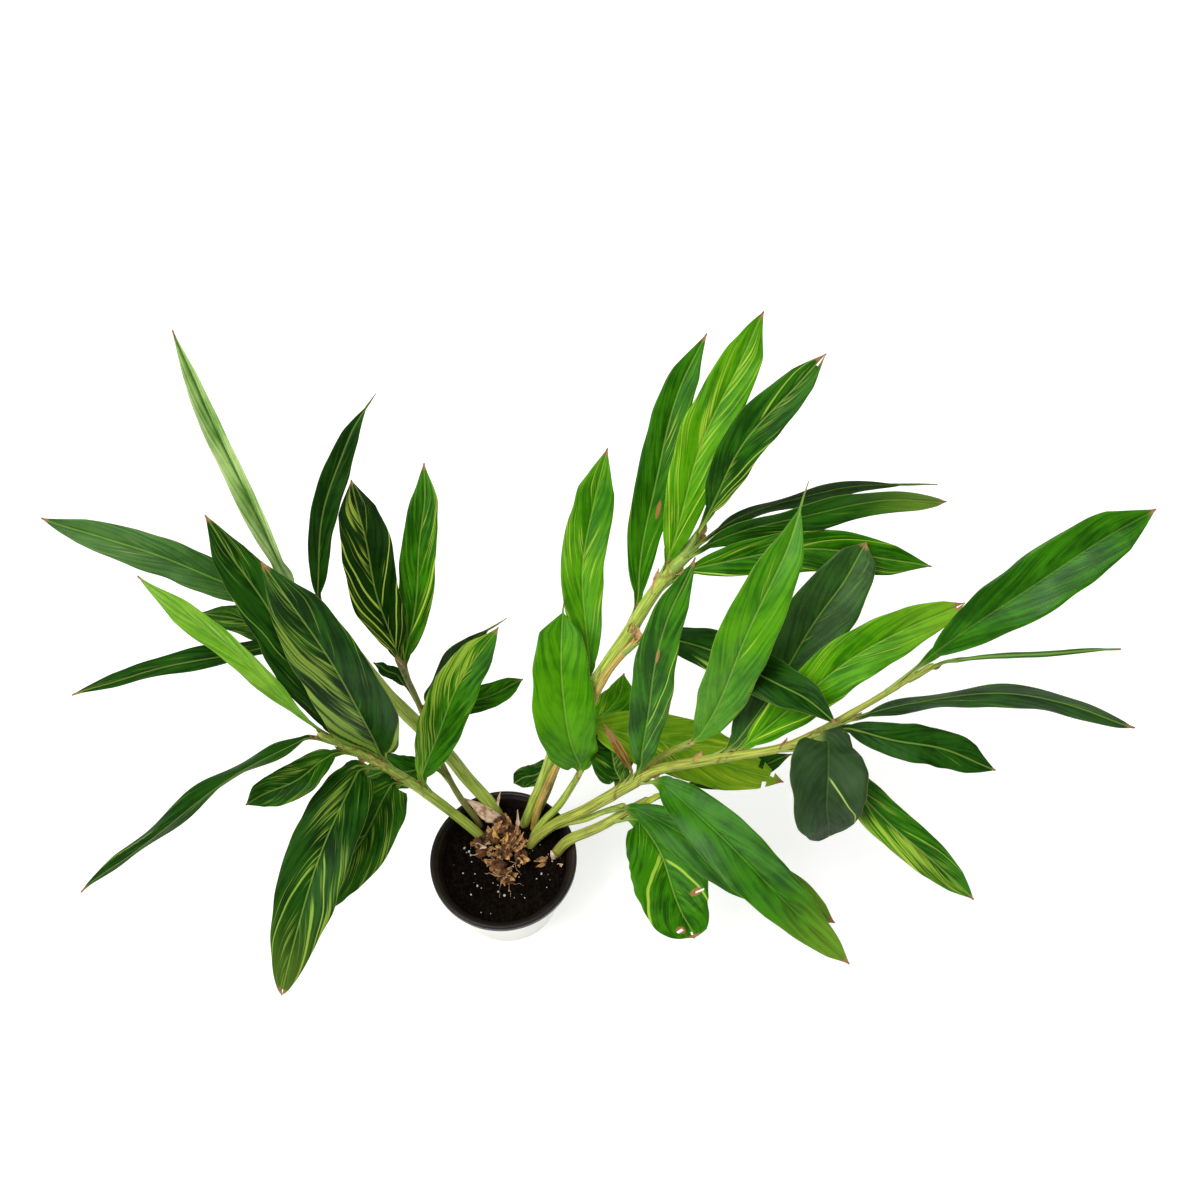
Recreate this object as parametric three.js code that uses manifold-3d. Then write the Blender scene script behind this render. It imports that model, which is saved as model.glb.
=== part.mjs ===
// Potted variegated shell ginger: leafy canes on a knobbly rootstock, in a nursery pot that stands in a pale
// outer pot. Millimetres, +Z up, with the origin at the middle of the outer pot's foot.
import * as THREE from "three";
import { mergeVertices } from "three/addons/utils/BufferGeometryUtils.js";
import Module from "manifold-3d";

const wasm = await Module();
wasm.setup();

// Driving dimensions
const gap = 0.3; // between pieces that touch
const rimRadius = 77.5; // nursery pot, outside of its rolled rim
const potHeight = 100; // floor to the top of the rim
const lipHeight = 9; // depth of the rolled rim
const lipWidth = 5.5; // how far the rim is rolled outwards
const potWall = 1.6;
const outerPot = { footRadius: 56, wall: 2.2, floor: 2.5, footEdge: 1.5 };
const footGroove = { radius: 44, width: 5, depth: 1.2 };
const nurseryPot = { footRadius: 50, lift: 1.5, floor: 2, shoulder: 1.5, bead: 2 };
const drainHole = { radius: 5, ring: 34, count: 6, sides: 10, depth: 12 };
const soil = { depth: 15, relief: 1.6, rings: 6, sectors: 24 };
const potSides = 48;
const caneSides = 8;
const caneSteps = 12;
const bladeThickness = 0.9;
const bladeSteps = 9;
const knobDetail = 1;
const mergeStep = 1e-4;
const soilTop = potHeight - soil.depth;

const paint = {
  outerPot: { color: 0xdfe3e4, roughness: 0.45, metalness: 0 },
  nurseryPot: { color: 0x2b211f, roughness: 0.5, metalness: 0 },
  soil: { color: 0x17100c, roughness: 1, metalness: 0 },
  rhizome: { color: 0x9a6f42, roughness: 0.9, metalness: 0 },
  greenCane: { color: 0x8fae45, roughness: 0.5, metalness: 0 },
  goldCane: { color: 0xb3a552, roughness: 0.55, metalness: 0 },
  brownCane: { color: 0x6d5f35, roughness: 0.7, metalness: 0 },
  driedLeaf: { color: 0x8a6236, roughness: 0.85, metalness: 0 },
  lightLeaf: { color: 0x62a832, roughness: 0.42, metalness: 0 },
  freshLeaf: { color: 0x3f8f2c, roughness: 0.4, metalness: 0 },
  darkLeaf: { color: 0x1d5428, roughness: 0.36, metalness: 0 },
};

// Canes, from below the soil to the last leaf: the points that each one passes through, its radii at even
// steps from foot to end, and its leaves. grownFrom names the cane that a side shoot or sheath grows from.
// Of a leaf: how far up the cane it grows, where its tip is, its width, and the shape of its blade. arch
// lifts the middle of the blade, sway bends it sideways and hook only its outer half, roll and twist turn
// its upper side, fold closes it, and full rounds its outline.
const canes = [
  {
    name: "left_cane",
    leafName: "left_leaf",
    paint: "greenCane",
    points: [
      [-18, 26, 62], [-29, 30, 92], [-57, 43, 122], [-86, 49, 165], [-109, 46, 212], [-139, 43, 262],
      [-162, 37, 302],
    ],
    radii: [5.2, 5.4, 4],
    leaves: [
      { at: 0.97, tip: [-301, 119, 445], width: 31, arch: 16, sway: 3, roll: -15, paint: "lightLeaf" },
      { at: 0.93, tip: [-245, 154, 480], width: 46, arch: 10, sway: 9 },
      { at: 1, tip: [-348, -116, 290], width: 34, sway: 8, roll: 55 },
      { at: 0.87, tip: [-228, -20, 270], width: 34, sway: -3 },
      { at: 0.69, tip: [-195, 124, 455], width: 60, arch: 34, sway: 9 },
      { at: 0.76, tip: [-194, -166, 170], width: 62, arch: 25, sway: 4 },
      { at: 0.58, tip: [-181, -81, 150], width: 62, arch: 20, sway: -4, full: 1, widest: 0.32, stalk: 2 },
      { at: 0.46, tip: [0, 159, 300], width: 47, arch: 24, sway: -5, stalk: 6, paint: "lightLeaf" },
    ],
  },
  {
    name: "upper_left_cane",
    leafName: "upper_left_leaf",
    paint: "greenCane",
    points: [
      [-4, 46, 62], [-9, 53, 86], [-17, 60, 104], [-39, 76, 128], [-58, 87, 165], [-91, 102, 215],
      [-113, 107, 264], [-147, 127, 335], [-177, 134, 385],
    ],
    radii: [6, 7, 4.2],
    leaves: [
      { at: 1, tip: [-260, 269, 590], width: 34, fold: 60, paint: "lightLeaf" },
      { at: 0.97, tip: [-390, 164, 470], width: 42, sway: -2 },
      { at: 0.86, tip: [-359, 27, 385], width: 26, sway: 6, roll: 35, arch: 6 },
      { at: 0.95, tip: [-106, 279, 505], width: 34, sway: -7, hook: -8, roll: 30 },
      { at: 0.8, tip: [-279, 143, 350], width: 30 },
      { at: 0.45, tip: [21, 155, 205], width: 27, paint: "freshLeaf" },
    ],
  },
  {
    name: "back_left_cane",
    leafName: "back_left_leaf",
    paint: "brownCane",
    points: [
      [-24, 38, 62], [-30, 44, 93], [-44, 57, 110], [-57, 74, 122], [-69, 93, 140], [-82, 118, 185],
      [-91, 128, 230], [-99, 130, 290],
    ],
    radii: [3, 2.9, 3.4],
    leaves: [
      { at: 0.97, tip: [-140, 256, 410], width: 52 },
      { at: 0.93, tip: [-65, 273, 415], width: 36, sway: 6, paint: "freshLeaf" },
      { at: 0.4, tip: [-150, 82, 125], width: 38 },
      { at: 0.66, tip: [6, 172, 300], width: 30, roll: 50 },
    ],
  },
  {
    name: "middle_cane",
    leafName: "middle_leaf",
    paint: "greenCane",
    points: [
      [12, 42, 62], [22, 46, 92], [31, 52, 122], [45, 63, 165], [60, 75, 215], [92, 90, 290],
      [125, 114, 345], [152, 135, 393], [171, 147, 418], [199, 184, 430],
    ],
    radii: [4.2, 7, 5],
    leaves: [
      { at: 0.57, tip: [108, 270, 440], width: 44, arch: -10, sway: -13, paint: "freshLeaf" },
      { at: 0.77, tip: [197, 314, 545], width: 38, sway: -14 },
      { at: 0.89, tip: [249, 320, 565], width: 45, arch: 17, sway: -8, full: 1.4, paint: "lightLeaf" },
      { at: 0.98, tip: [292, 239, 590], width: 38, arch: 28, sway: -11, stalk: 24, paint: "freshLeaf" },
      { at: 0.97, tip: [405, 194, 470], width: 20, roll: 55, sway: -24, hook: 10 },
      { at: 0.94, tip: [408, 179, 475], width: 34, roll: 50, sway: -14, hook: 6 },
      { at: 0.89, tip: [399, 134, 430], width: 40, arch: 4, roll: 20, sway: -17, paint: "freshLeaf" },
    ],
  },
  {
    name: "middle_side_cane",
    leafName: "side_leaf",
    paint: "goldCane",
    points: [
      [28, 35, 62], [31, 40, 92], [38, 44, 136], [47, 52, 162], [61, 60, 202], [71, 62, 226],
      [86, 71, 264], [101, 84, 305], [113, 93, 329], [141, 112, 358],
    ],
    radii: [3.6, 3.4, 3.2],
    leaves: [
      { at: 0.64, tip: [291, 50, 175], width: 62, arch: -16, sway: -2, widest: 0.4, paint: "lightLeaf" },
      { at: 1, tip: [306, 0, 394], width: 42, arch: -9, sway: -10, hook: -2 },
    ],
  },
  {
    name: "young_shoot",
    leafName: "shoot_leaf",
    paint: "greenCane",
    points: [
      [24, 26, 62], [32, 31, 93], [43, 38, 110], [55, 43, 126], [64, 48, 141], [78, 54, 176], [84, 55, 195],
    ],
    radii: [3.4, 4, 3],
    leaves: [{ at: 1, tip: [69, 160, 347], width: 60, arch: 38, sway: -12, full: 1.15, paint: "lightLeaf" }],
  },
  {
    name: "right_cane",
    leafName: "right_leaf",
    paint: "greenCane",
    points: [
      [20, 14, 62], [30, 22, 90], [56, 30, 120], [85, 31, 148], [112, 33, 178], [134, 35, 203],
      [158, 36, 230], [197, 24, 272], [232, 14, 304], [272, 8, 334], [333, 18, 390], [384, 33, 432],
    ],
    radii: [4, 5.6, 4.6, 4],
    leaves: [
      { at: 0.39, tip: [180, 118, 470], width: 46, arch: 22, sway: -10 },
      { at: 0.6, tip: [341, 145, 452], width: 62, arch: 0 },
      { at: 0.62, tip: [421, 100, 430], width: 46, arch: 20, sway: -12, paint: "lightLeaf" },
      { at: 0.96, tip: [540, 98, 560], width: 50, arch: 18, sway: -6, stalk: 24, paint: "freshLeaf" },
      { at: 1, tip: [526, 24, 470], width: 5, thick: 4, fold: 0, sway: -1, paint: "lightLeaf" },
      { at: 0.84, tip: [540, -24, 430], width: 34, roll: 50, sway: -24, hook: 4 },
      { at: 0.81, tip: [444, -30, 360], width: 34, sway: -3 },
      { at: 0.79, tip: [307, -65, 300], width: 60, arch: 34, sway: 9, full: 1.2, widest: 0.34 },
      { at: 0.74, tip: [437, -107, 250], width: 36, sway: -2, paint: "lightLeaf" },
      { at: 0.41, tip: [333, -143, 185], width: 58, arch: 20, sway: -2, paint: "freshLeaf" },
      { at: 0.33, tip: [104, 96, 218], width: 46, arch: 4, sway: -3, full: 1, widest: 0.35, stalk: 2 },
    ],
  },
  {
    name: "right_branch",
    grownFrom: "right_cane",
    leafName: "branch_leaf",
    points: [[136, 36, 204], [163, 47, 238], [193, 41, 280]],
    radii: [3.8, 3],
    leaves: [{ at: 1, tip: [282, 158, 520], width: 50, arch: 40, paint: "lightLeaf" }],
  },
  {
    name: "right_sheath",
    grownFrom: "right_cane",
    leafName: "sheath_leaf",
    points: [[52, 28, 114], [66, 28, 124], [85, 27, 135], [102, 29, 146], [128, 30, 165]],
    radii: [3.4, 2.8],
    leaves: [{ at: 1, tip: [328, -97, 180], width: 46, arch: 8, stalk: 6, paint: "freshLeaf" }],
  },
  {
    name: "lower_right_cane",
    leafName: "low_leaf",
    paint: "goldCane",
    points: [
      [48, 6, 64], [57, 11, 90], [69, 15, 110], [86, 18, 121], [102, 21, 131], [131, 29, 152], [153, 35, 168],
    ],
    radii: [5.4, 5.4, 4.2],
    leaves: [
      { at: 0.86, tip: [192, -98, 125], width: 76, arch: 8, sway: -6, full: 1.2, stalk: 6 },
      { at: 1, tip: [303, 78, 175], width: 24, arch: -10, wave: 1, stalk: 45 },
    ],
  },
  {
    name: "back_cane",
    leafName: "back_leaf",
    paint: "brownCane",
    points: [[26, 50, 66], [33, 52, 92], [46, 68, 120], [57, 84, 146], [68, 94, 168]],
    radii: [4.5, 3],
    leaves: [
      { at: 0.8, tip: [9, 76, 118], width: 24, arch: 5, full: 1.2, stalk: 2 },
      { at: 1, tip: [129, 139, 240], width: 36, arch: 0, sway: 9, stalk: 20, paint: "freshLeaf" },
    ],
  },
];

const leafDefaults = {
  arch: 14,
  sway: 0,
  hook: 0,
  roll: 0,
  twist: 0,
  fold: 14,
  wave: 2.5,
  waves: 2.5,
  full: 1.7,
  widest: 0.45,
  stalk: 12,
  stalkRadius: 1.7,
  thick: bladeThickness,
  paint: "darkLeaf",
};
// A narrow strip of a dried leaf that still hangs on the right cane.
const driedStrip = { at: 0.37, tip: [106, 64, 272], width: 8, arch: 4, fold: 0, thick: 1.5, wave: 1 };
const facing = new THREE.Vector3(0, -0.5, 0.87); // towards the light, where the leaves turn their upper side

const plant = new THREE.Group();
plant.name = "potted_shell_ginger";

function addPiece(name, geometry, look) {
  const mesh = new THREE.Mesh(geometry, new THREE.MeshStandardMaterial(look));
  mesh.name = name;
  plant.add(mesh);
}

function toSolid(geometry) {
  const bare = new THREE.BufferGeometry().setAttribute("position", geometry.getAttribute("position"));
  if (geometry.index) bare.setIndex(geometry.index);
  const merged = mergeVertices(bare, mergeStep);
  return new wasm.Manifold(
    new wasm.Mesh({
      numProp: 3,
      vertProperties: merged.attributes.position.array,
      triVerts: new Uint32Array(merged.index.array),
    }),
  );
}

function toGeometry(solid) {
  const mesh = solid.getMesh();
  const geometry = new THREE.BufferGeometry();
  geometry.setAttribute("position", new THREE.BufferAttribute(mesh.vertProperties, mesh.numProp));
  geometry.setIndex(new THREE.BufferAttribute(mesh.triVerts, 1));
  return geometry;
}

function largestBody(solid) {
  return solid.decompose().reduce((a, b) => (a.volume() > b.volume() ? a : b));
}

// A closed body from a grid of rows, each row a ring of points, with both ends filled by a fan.
function loft(rings) {
  const sides = rings[0].length;
  const points = rings.flat();
  const faces = [];
  for (let row = 0; row + 1 < rings.length; row++) {
    for (let i = 0; i < sides; i++) {
      const a = row * sides + i;
      const b = row * sides + ((i + 1) % sides);
      faces.push(a, b, b + sides, a, b + sides, a + sides);
    }
  }
  const last = (rings.length - 1) * sides;
  for (let i = 1; i + 1 < sides; i++) {
    faces.push(0, i + 1, i, last, last + i, last + i + 1);
  }
  return new THREE.BufferGeometry().setFromPoints(points).setIndex(faces);
}

// A body of revolution about +Z from a closed profile of [radius, height] pairs.
function turned(profile, sides = potSides) {
  const outline = [...profile, profile[0]].map(([r, z]) => new THREE.Vector2(r, z));
  return new THREE.LatheGeometry(outline, sides).rotateX(Math.PI / 2);
}

function mix(a, b, t) {
  return a + (b - a) * t;
}

function addOuterPot() {
  const { footRadius, wall, floor, footEdge } = outerPot;
  const groove = footGroove;
  const top = potHeight - lipHeight - gap;
  const mouth = rimRadius - lipWidth + 1;
  const profile = [
    [0, 0],
    [groove.radius - groove.width - groove.depth, 0],
    [groove.radius - groove.width, groove.depth],
    [groove.radius, groove.depth],
    [groove.radius + groove.depth, 0],
    [footRadius - footEdge, 0],
    [footRadius, footEdge],
    [mouth, top],
    [mouth - wall, top],
    [footRadius - wall, floor],
    [0, floor],
  ];
  addPiece("outer_pot", turned(profile), paint.outerPot);
}

// The radius of the nursery pot's outer wall at a height.
function nurseryRadius(z) {
  const foot = outerPot.floor + nurseryPot.lift;
  const mouth = rimRadius - lipWidth - nurseryPot.shoulder;
  return mix(nurseryPot.footRadius, mouth, (z - foot) / (potHeight - foot));
}

function addNurseryPot() {
  const bottom = outerPot.floor + nurseryPot.lift;
  const lipFoot = potHeight - lipHeight;
  const bead = nurseryPot.bead;
  const profile = [
    [0, bottom],
    [nurseryRadius(bottom), bottom],
    [nurseryRadius(lipFoot), lipFoot],
    [rimRadius - 1, lipFoot],
    [rimRadius, lipFoot + bead],
    [rimRadius, potHeight - bead],
    [rimRadius - bead, potHeight],
    [rimRadius - lipWidth, potHeight],
    [nurseryRadius(lipFoot) + 1, potHeight - 2 * bead],
    [nurseryRadius(lipFoot) - potWall, lipFoot],
    [nurseryRadius(bottom + nurseryPot.floor) - potWall, bottom + nurseryPot.floor],
    [0, bottom + nurseryPot.floor],
  ];
  const { radius, ring, count, sides, depth } = drainHole;
  let solid = toSolid(turned(profile));
  for (let i = 0; i < count; i++) {
    const angle = (i / count) * Math.PI * 2;
    const hole = new THREE.CylinderGeometry(radius, radius, depth, sides).rotateX(Math.PI / 2);
    hole.translate(ring * Math.cos(angle), ring * Math.sin(angle), bottom);
    solid = solid.subtract(toSolid(hole));
  }
  addPiece("nursery_pot", toGeometry(solid), paint.nurseryPot);
}

// The soil's surface: low swells and hollows, level against the wall.
function soilHeight(x, y) {
  const margin = 12;
  const reach = Math.min(1, (nurseryRadius(soilTop) - Math.hypot(x, y)) / margin);
  const swell = Math.sin(x / 9 + 1) * Math.cos(y / 11) + 0.6 * Math.sin((x + y) / 6);
  return soilTop + soil.relief * reach * swell;
}

function soilGeometry(lift) {
  const bottom = outerPot.floor + nurseryPot.lift + nurseryPot.floor + gap;
  const inset = potWall + gap;
  const points = [new THREE.Vector3(0, 0, soilHeight(0, 0) + lift)];
  const faces = [];
  for (let ring = 1; ring <= soil.rings + 1; ring++) {
    for (let i = 0; i < soil.sectors; i++) {
      const angle = (i / soil.sectors) * Math.PI * 2;
      const top = ring <= soil.rings;
      const share = Math.sqrt(Math.min(ring, soil.rings) / soil.rings);
      const radius = top ? share * (nurseryRadius(soilTop) - inset) : nurseryRadius(bottom) - inset;
      const x = radius * Math.cos(angle);
      const y = radius * Math.sin(angle);
      points.push(new THREE.Vector3(x, y, top ? soilHeight(x, y) + lift : bottom));
    }
  }
  const at = (ring, i) => 1 + (ring - 1) * soil.sectors + (i % soil.sectors);
  points.push(new THREE.Vector3(0, 0, bottom));
  for (let i = 0; i < soil.sectors; i++) {
    faces.push(0, at(1, i), at(1, i + 1));
    for (let ring = 1; ring <= soil.rings; ring++) {
      faces.push(at(ring, i), at(ring + 1, i), at(ring + 1, i + 1));
      faces.push(at(ring, i), at(ring + 1, i + 1), at(ring, i + 1));
    }
    faces.push(points.length - 1, at(soil.rings + 1, i + 1), at(soil.rings + 1, i));
  }
  return new THREE.BufferGeometry().setFromPoints(points).setIndex(faces);
}

function caneCurve(cane) {
  return new THREE.CatmullRomCurve3(cane.points.map((p) => new THREE.Vector3(...p)), false, "centripetal");
}

// The radius at a share of the cane's length. Its radii are at even steps from the foot to the end.
function caneRadius(cane, share) {
  const spans = cane.radii.length - 1;
  const span = Math.min(Math.floor(share * spans), spans - 1);
  return mix(cane.radii[span], cane.radii[span + 1], share * spans - span);
}

// A cane as a tube that tapers towards its end. grow makes it stouter, for the holes around it.
function caneGeometry(cane, grow = 0) {
  const curve = caneCurve(cane);
  const frames = curve.computeFrenetFrames(caneSteps, false);
  const rings = [];
  for (let step = 0; step <= caneSteps; step++) {
    const share = step / caneSteps;
    const centre = curve.getPointAt(share);
    const radius = caneRadius(cane, share) + grow;
    const ring = [];
    for (let i = 0; i < caneSides; i++) {
      const angle = (i / caneSides) * Math.PI * 2;
      ring.push(
        centre
          .clone()
          .addScaledVector(frames.normals[step], radius * Math.cos(angle))
          .addScaledVector(frames.binormals[step], radius * Math.sin(angle)),
      );
    }
    rings.push(ring);
  }
  return loft(rings);
}

// A shoot or leaf sheath that grows from another cane is one body with it.
function addCanes() {
  for (const cane of canes.filter((row) => !row.grownFrom)) {
    let solid = toSolid(caneGeometry(cane));
    for (const shoot of canes.filter((row) => row.grownFrom === cane.name)) {
      solid = solid.add(toSolid(caneGeometry(shoot)));
    }
    addPiece(cane.name, toGeometry(solid), paint[cane.paint]);
  }
}

function addSoil() {
  let solid = toSolid(soilGeometry(0));
  for (const cane of canes) {
    solid = solid.subtract(toSolid(caneGeometry(cane, gap)));
  }
  addPiece("soil", toGeometry(solid), paint.soil);
}

// The rootstock's knobs: centre on the soil, half lengths, and how each is turned about Z and tipped.
const knobs = [
  { at: [-26, 22, 86], size: [9, 8, 8], turn: 20, tip: 10 },
  { at: [-12, 26, 87], size: [10, 7, 8], turn: -30, tip: 15 },
  { at: [0, 36, 86], size: [13, 9, 8], turn: 15, tip: 0 },
  { at: [10, 22, 87], size: [11, 9, 9], turn: -20, tip: 10 },
  { at: [0, 12, 86], size: [11, 9, 7], turn: 50, tip: 0 },
  { at: [-6, -4, 86], size: [10, 8, 6], turn: 10, tip: -10 },
  { at: [2, -16, 85], size: [11, 9, 6], turn: -35, tip: 0 },
  { at: [18, 6, 86], size: [8, 9, 7], turn: 0, tip: 10 },
  { at: [-7, 47, 87], size: [11, 9, 8], turn: -25, tip: 0 },
  { at: [-24, 12, 86], size: [9, 7, 6], turn: 40, tip: 0 },
];
// Dried scales and points that stand up from it: foot, height, width and lean.
const scales = [
  { at: [-6, 40, 88], height: 22, width: 14, lean: [-0.85, 0.3] },
  { at: [-3, 49, 88], height: 26, width: 5, lean: [-0.05, 0.35] },
  { at: [8, 38, 88], height: 24, width: 5, lean: [0.1, 0.3] },
  { at: [-12, 24, 90], height: 15, width: 11, lean: [0.3, 0.2] },
  { at: [17, 8, 88], height: 14, width: 9, lean: [0.5, -0.3] },
  { at: [-26, 20, 88], height: 13, width: 9, lean: [-0.5, -0.2] },
];

function addRhizome() {
  let solid;
  for (const knob of knobs) {
    const body = new THREE.IcosahedronGeometry(1, knobDetail);
    body.scale(...knob.size);
    body.rotateY(THREE.MathUtils.degToRad(knob.tip));
    body.rotateZ(THREE.MathUtils.degToRad(knob.turn));
    body.translate(...knob.at);
    solid = solid ? solid.add(toSolid(body)) : toSolid(body);
  }
  for (const scale of scales) {
    const body = new THREE.ConeGeometry(1, 1, 6);
    body.translate(0, 0.5, 0);
    body.rotateX(Math.PI / 2);
    body.scale(scale.width / 2, 2, scale.height);
    const way = new THREE.Vector3(scale.lean[0], scale.lean[1], 1).normalize();
    body.applyQuaternion(new THREE.Quaternion().setFromUnitVectors(new THREE.Vector3(0, 0, 1), way));
    body.translate(...scale.at);
    solid = solid.add(toSolid(body));
  }
  solid = solid.subtract(toSolid(soilGeometry(gap)));
  for (const cane of canes) {
    solid = solid.subtract(toSolid(caneGeometry(cane, gap)));
  }
  addPiece("rhizome", toGeometry(largestBody(solid)), paint.rhizome);
}

// The curve of a leaf's rib, from the cane's surface to the tip, and the way its upper side faces.
function leafRib(leaf, cane) {
  const curve = caneCurve(cane);
  const centre = curve.getPointAt(leaf.at);
  const along = curve.getTangentAt(leaf.at);
  const tip = new THREE.Vector3(...leaf.tip);
  const out = tip.clone().sub(centre);
  out.addScaledVector(along, -out.dot(along)).normalize();
  const start = centre.clone();
  if (leaf.at < 1) {
    start.addScaledVector(out, caneRadius(cane, leaf.at) + gap + leaf.stalkRadius);
  } else {
    start.addScaledVector(along, gap + leaf.stalkRadius);
  }
  const chord = tip.clone().sub(start);
  const line = chord.clone().normalize();
  const face = facing.clone().addScaledVector(line, -facing.dot(line)).normalize();
  const side = new THREE.Vector3().crossVectors(line, face);
  const reach = 4 / 3; // how much further out a handle lies than the bend that it makes
  const bend = face.clone().multiplyScalar(leaf.arch * reach).addScaledVector(side, leaf.sway * reach);
  const near = start.clone().addScaledVector(chord, 1 / 3).add(bend);
  const far = start.clone().addScaledVector(chord, 2 / 3).add(bend).addScaledVector(side, leaf.hook * reach);
  return { curve: new THREE.CubicBezierCurve3(start, near, far, tip), length: chord.length() };
}

// Half of a blade's width at a share of its length: narrow stalk, long oval blade, drawn-out tip.
function halfWidth(leaf, share, stalkShare) {
  if (share <= stalkShare) return leaf.stalkRadius;
  const s = (share - stalkShare) / (1 - stalkShare);
  const m = leaf.widest;
  const rise = Math.pow(s / m, m * leaf.full);
  const fall = Math.pow((1 - s) / (1 - m), (1 - m) * leaf.full);
  return Math.max((leaf.width / 2) * rise * fall, s < m ? leaf.stalkRadius : 0.7);
}

function leafGeometry(leaf, cane) {
  const { curve, length } = leafRib(leaf, cane);
  const stalkShare = leaf.stalk / length;
  const across = [-1, -0.5, 0, 0.5, 1];
  const opening = 0.15; // share of the length over which the stalk opens into the blade
  const offset = 0.35; // how far the waves of one half run ahead of the other's
  const tops = [];
  const bottoms = [];
  for (let step = 0; step <= bladeSteps; step++) {
    const blade = Math.max(0, step - 1) / (bladeSteps - 1);
    const share = step === 0 ? 0 : mix(stalkShare, 1, 0.5 * blade + 0.25 * (1 - Math.cos(Math.PI * blade)));
    const centre = curve.getPointAt(share);
    const along = curve.getTangentAt(share);
    const face = facing.clone().addScaledVector(along, -facing.dot(along)).normalize();
    face.applyAxisAngle(along, THREE.MathUtils.degToRad(leaf.roll + leaf.twist * share));
    const side = new THREE.Vector3().crossVectors(along, face);
    const half = halfWidth(leaf, share, stalkShare);
    const open = THREE.MathUtils.smoothstep(share, stalkShare, stalkShare + opening);
    const fold = THREE.MathUtils.degToRad(leaf.fold) * open;
    const thick = mix(leaf.stalkRadius * 1.6, leaf.thick, open);
    const row = across.map((u) => {
      const ripple = Math.sin((share * leaf.waves + (u < 0 ? offset : 0)) * Math.PI * 2);
      const wave = leaf.wave * u * u * ripple * open * (1 - share * share);
      const lift = half * Math.abs(u) * Math.sin(fold) + wave;
      return centre.clone().addScaledVector(side, half * u * Math.cos(fold)).addScaledVector(face, lift);
    });
    const drop = thick / Math.cos(fold);
    tops.push(row.map((p) => p.clone().addScaledVector(face, drop / 2)));
    bottoms.push(row.map((p) => p.clone().addScaledVector(face, -drop / 2)));
  }
  return sheet(tops, bottoms);
}

// A closed blade between an upper and a lower grid of points, with both faces split alike.
function sheet(tops, bottoms) {
  const rows = tops.length;
  const columns = tops[0].length;
  const under = rows * columns;
  const at = (row, column) => row * columns + column;
  const faces = [];
  const quad = (a, b, c, d) => faces.push(a, b, c, a, c, d);
  for (let row = 0; row + 1 < rows; row++) {
    for (let column = 0; column + 1 < columns; column++) {
      const corners = [at(row, column), at(row, column + 1), at(row + 1, column + 1), at(row + 1, column)];
      quad(...corners);
      const [a, b, c, d] = corners.map((i) => i + under);
      faces.push(a, c, b, a, d, c);
    }
    const right = columns - 1;
    quad(at(row, 0), at(row + 1, 0), at(row + 1, 0) + under, at(row, 0) + under);
    quad(at(row, right), at(row, right) + under, at(row + 1, right) + under, at(row + 1, right));
  }
  for (let column = 0; column + 1 < columns; column++) {
    const last = rows - 1;
    quad(at(0, column), at(0, column) + under, at(0, column + 1) + under, at(0, column + 1));
    quad(at(last, column), at(last, column + 1), at(last, column + 1) + under, at(last, column) + under);
  }
  return new THREE.BufferGeometry().setFromPoints([...tops.flat(), ...bottoms.flat()]).setIndex(faces);
}

function addLeaves() {
  for (const cane of canes) {
    cane.leaves.forEach((row, i) => {
      const name = cane.leaves.length > 1 ? `${cane.leafName}_${i + 1}` : cane.leafName;
      const leaf = { ...leafDefaults, ...row };
      addPiece(name, leafGeometry(leaf, cane), paint[leaf.paint]);
    });
  }
  const stem = canes.find((cane) => cane.name === "right_cane");
  addPiece("dried_strip", leafGeometry({ ...leafDefaults, ...driedStrip }, stem), paint.driedLeaf);
}

addOuterPot();
addNurseryPot();
addSoil();
addRhizome();
addCanes();
addLeaves();

export default plant;
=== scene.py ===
# A potted variegated shell ginger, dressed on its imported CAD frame.
# Metres, +Z up, with the origin at the middle of the outer pot's foot.
import math

import bmesh
import bpy
import numpy as np
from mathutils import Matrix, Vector, noise


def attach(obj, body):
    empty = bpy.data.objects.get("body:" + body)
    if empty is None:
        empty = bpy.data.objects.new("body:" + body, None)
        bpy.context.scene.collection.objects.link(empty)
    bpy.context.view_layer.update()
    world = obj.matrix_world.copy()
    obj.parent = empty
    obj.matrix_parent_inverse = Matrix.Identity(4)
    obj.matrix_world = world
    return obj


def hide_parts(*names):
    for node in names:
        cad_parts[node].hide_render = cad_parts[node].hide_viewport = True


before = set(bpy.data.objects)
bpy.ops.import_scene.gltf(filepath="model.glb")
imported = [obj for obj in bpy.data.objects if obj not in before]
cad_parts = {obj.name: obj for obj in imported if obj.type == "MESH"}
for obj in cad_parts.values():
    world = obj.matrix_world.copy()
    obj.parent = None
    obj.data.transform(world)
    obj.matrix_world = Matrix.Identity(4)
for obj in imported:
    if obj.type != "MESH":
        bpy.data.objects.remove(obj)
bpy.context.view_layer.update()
body = "root"


# A colour written as in the tables below, in the linear light that Blender works in.
def tint(code):
    parts = [int(code[i : i + 2], 16) / 255 for i in (0, 2, 4)]
    return [*(((p + 0.055) / 1.055) ** 2.4 if p > 0.04045 else p / 12.92 for p in parts), 1]


# 0 up to low, 1 from high on, and a soft step between them.
def smooth(value, low, high):
    share = np.clip((value - low) / (high - low), 0, 1)
    return share * share * (3 - 2 * share)


def unit(vectors):
    vectors = np.asarray(vectors, float)
    return vectors / np.linalg.norm(vectors, axis=-1, keepdims=True)


def circle(sides):
    return np.linspace(0, 2 * math.pi, sides, endpoint=False)


def turned(x, y, angle):
    return x * math.cos(angle) - y * math.sin(angle), x * math.sin(angle) + y * math.cos(angle)


# Material building: each call adds one node, in the tree of the sockets that it is given.
def treeOf(*values):
    return next(value.id_data for value in values if isinstance(value, bpy.types.NodeSocket))


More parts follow.
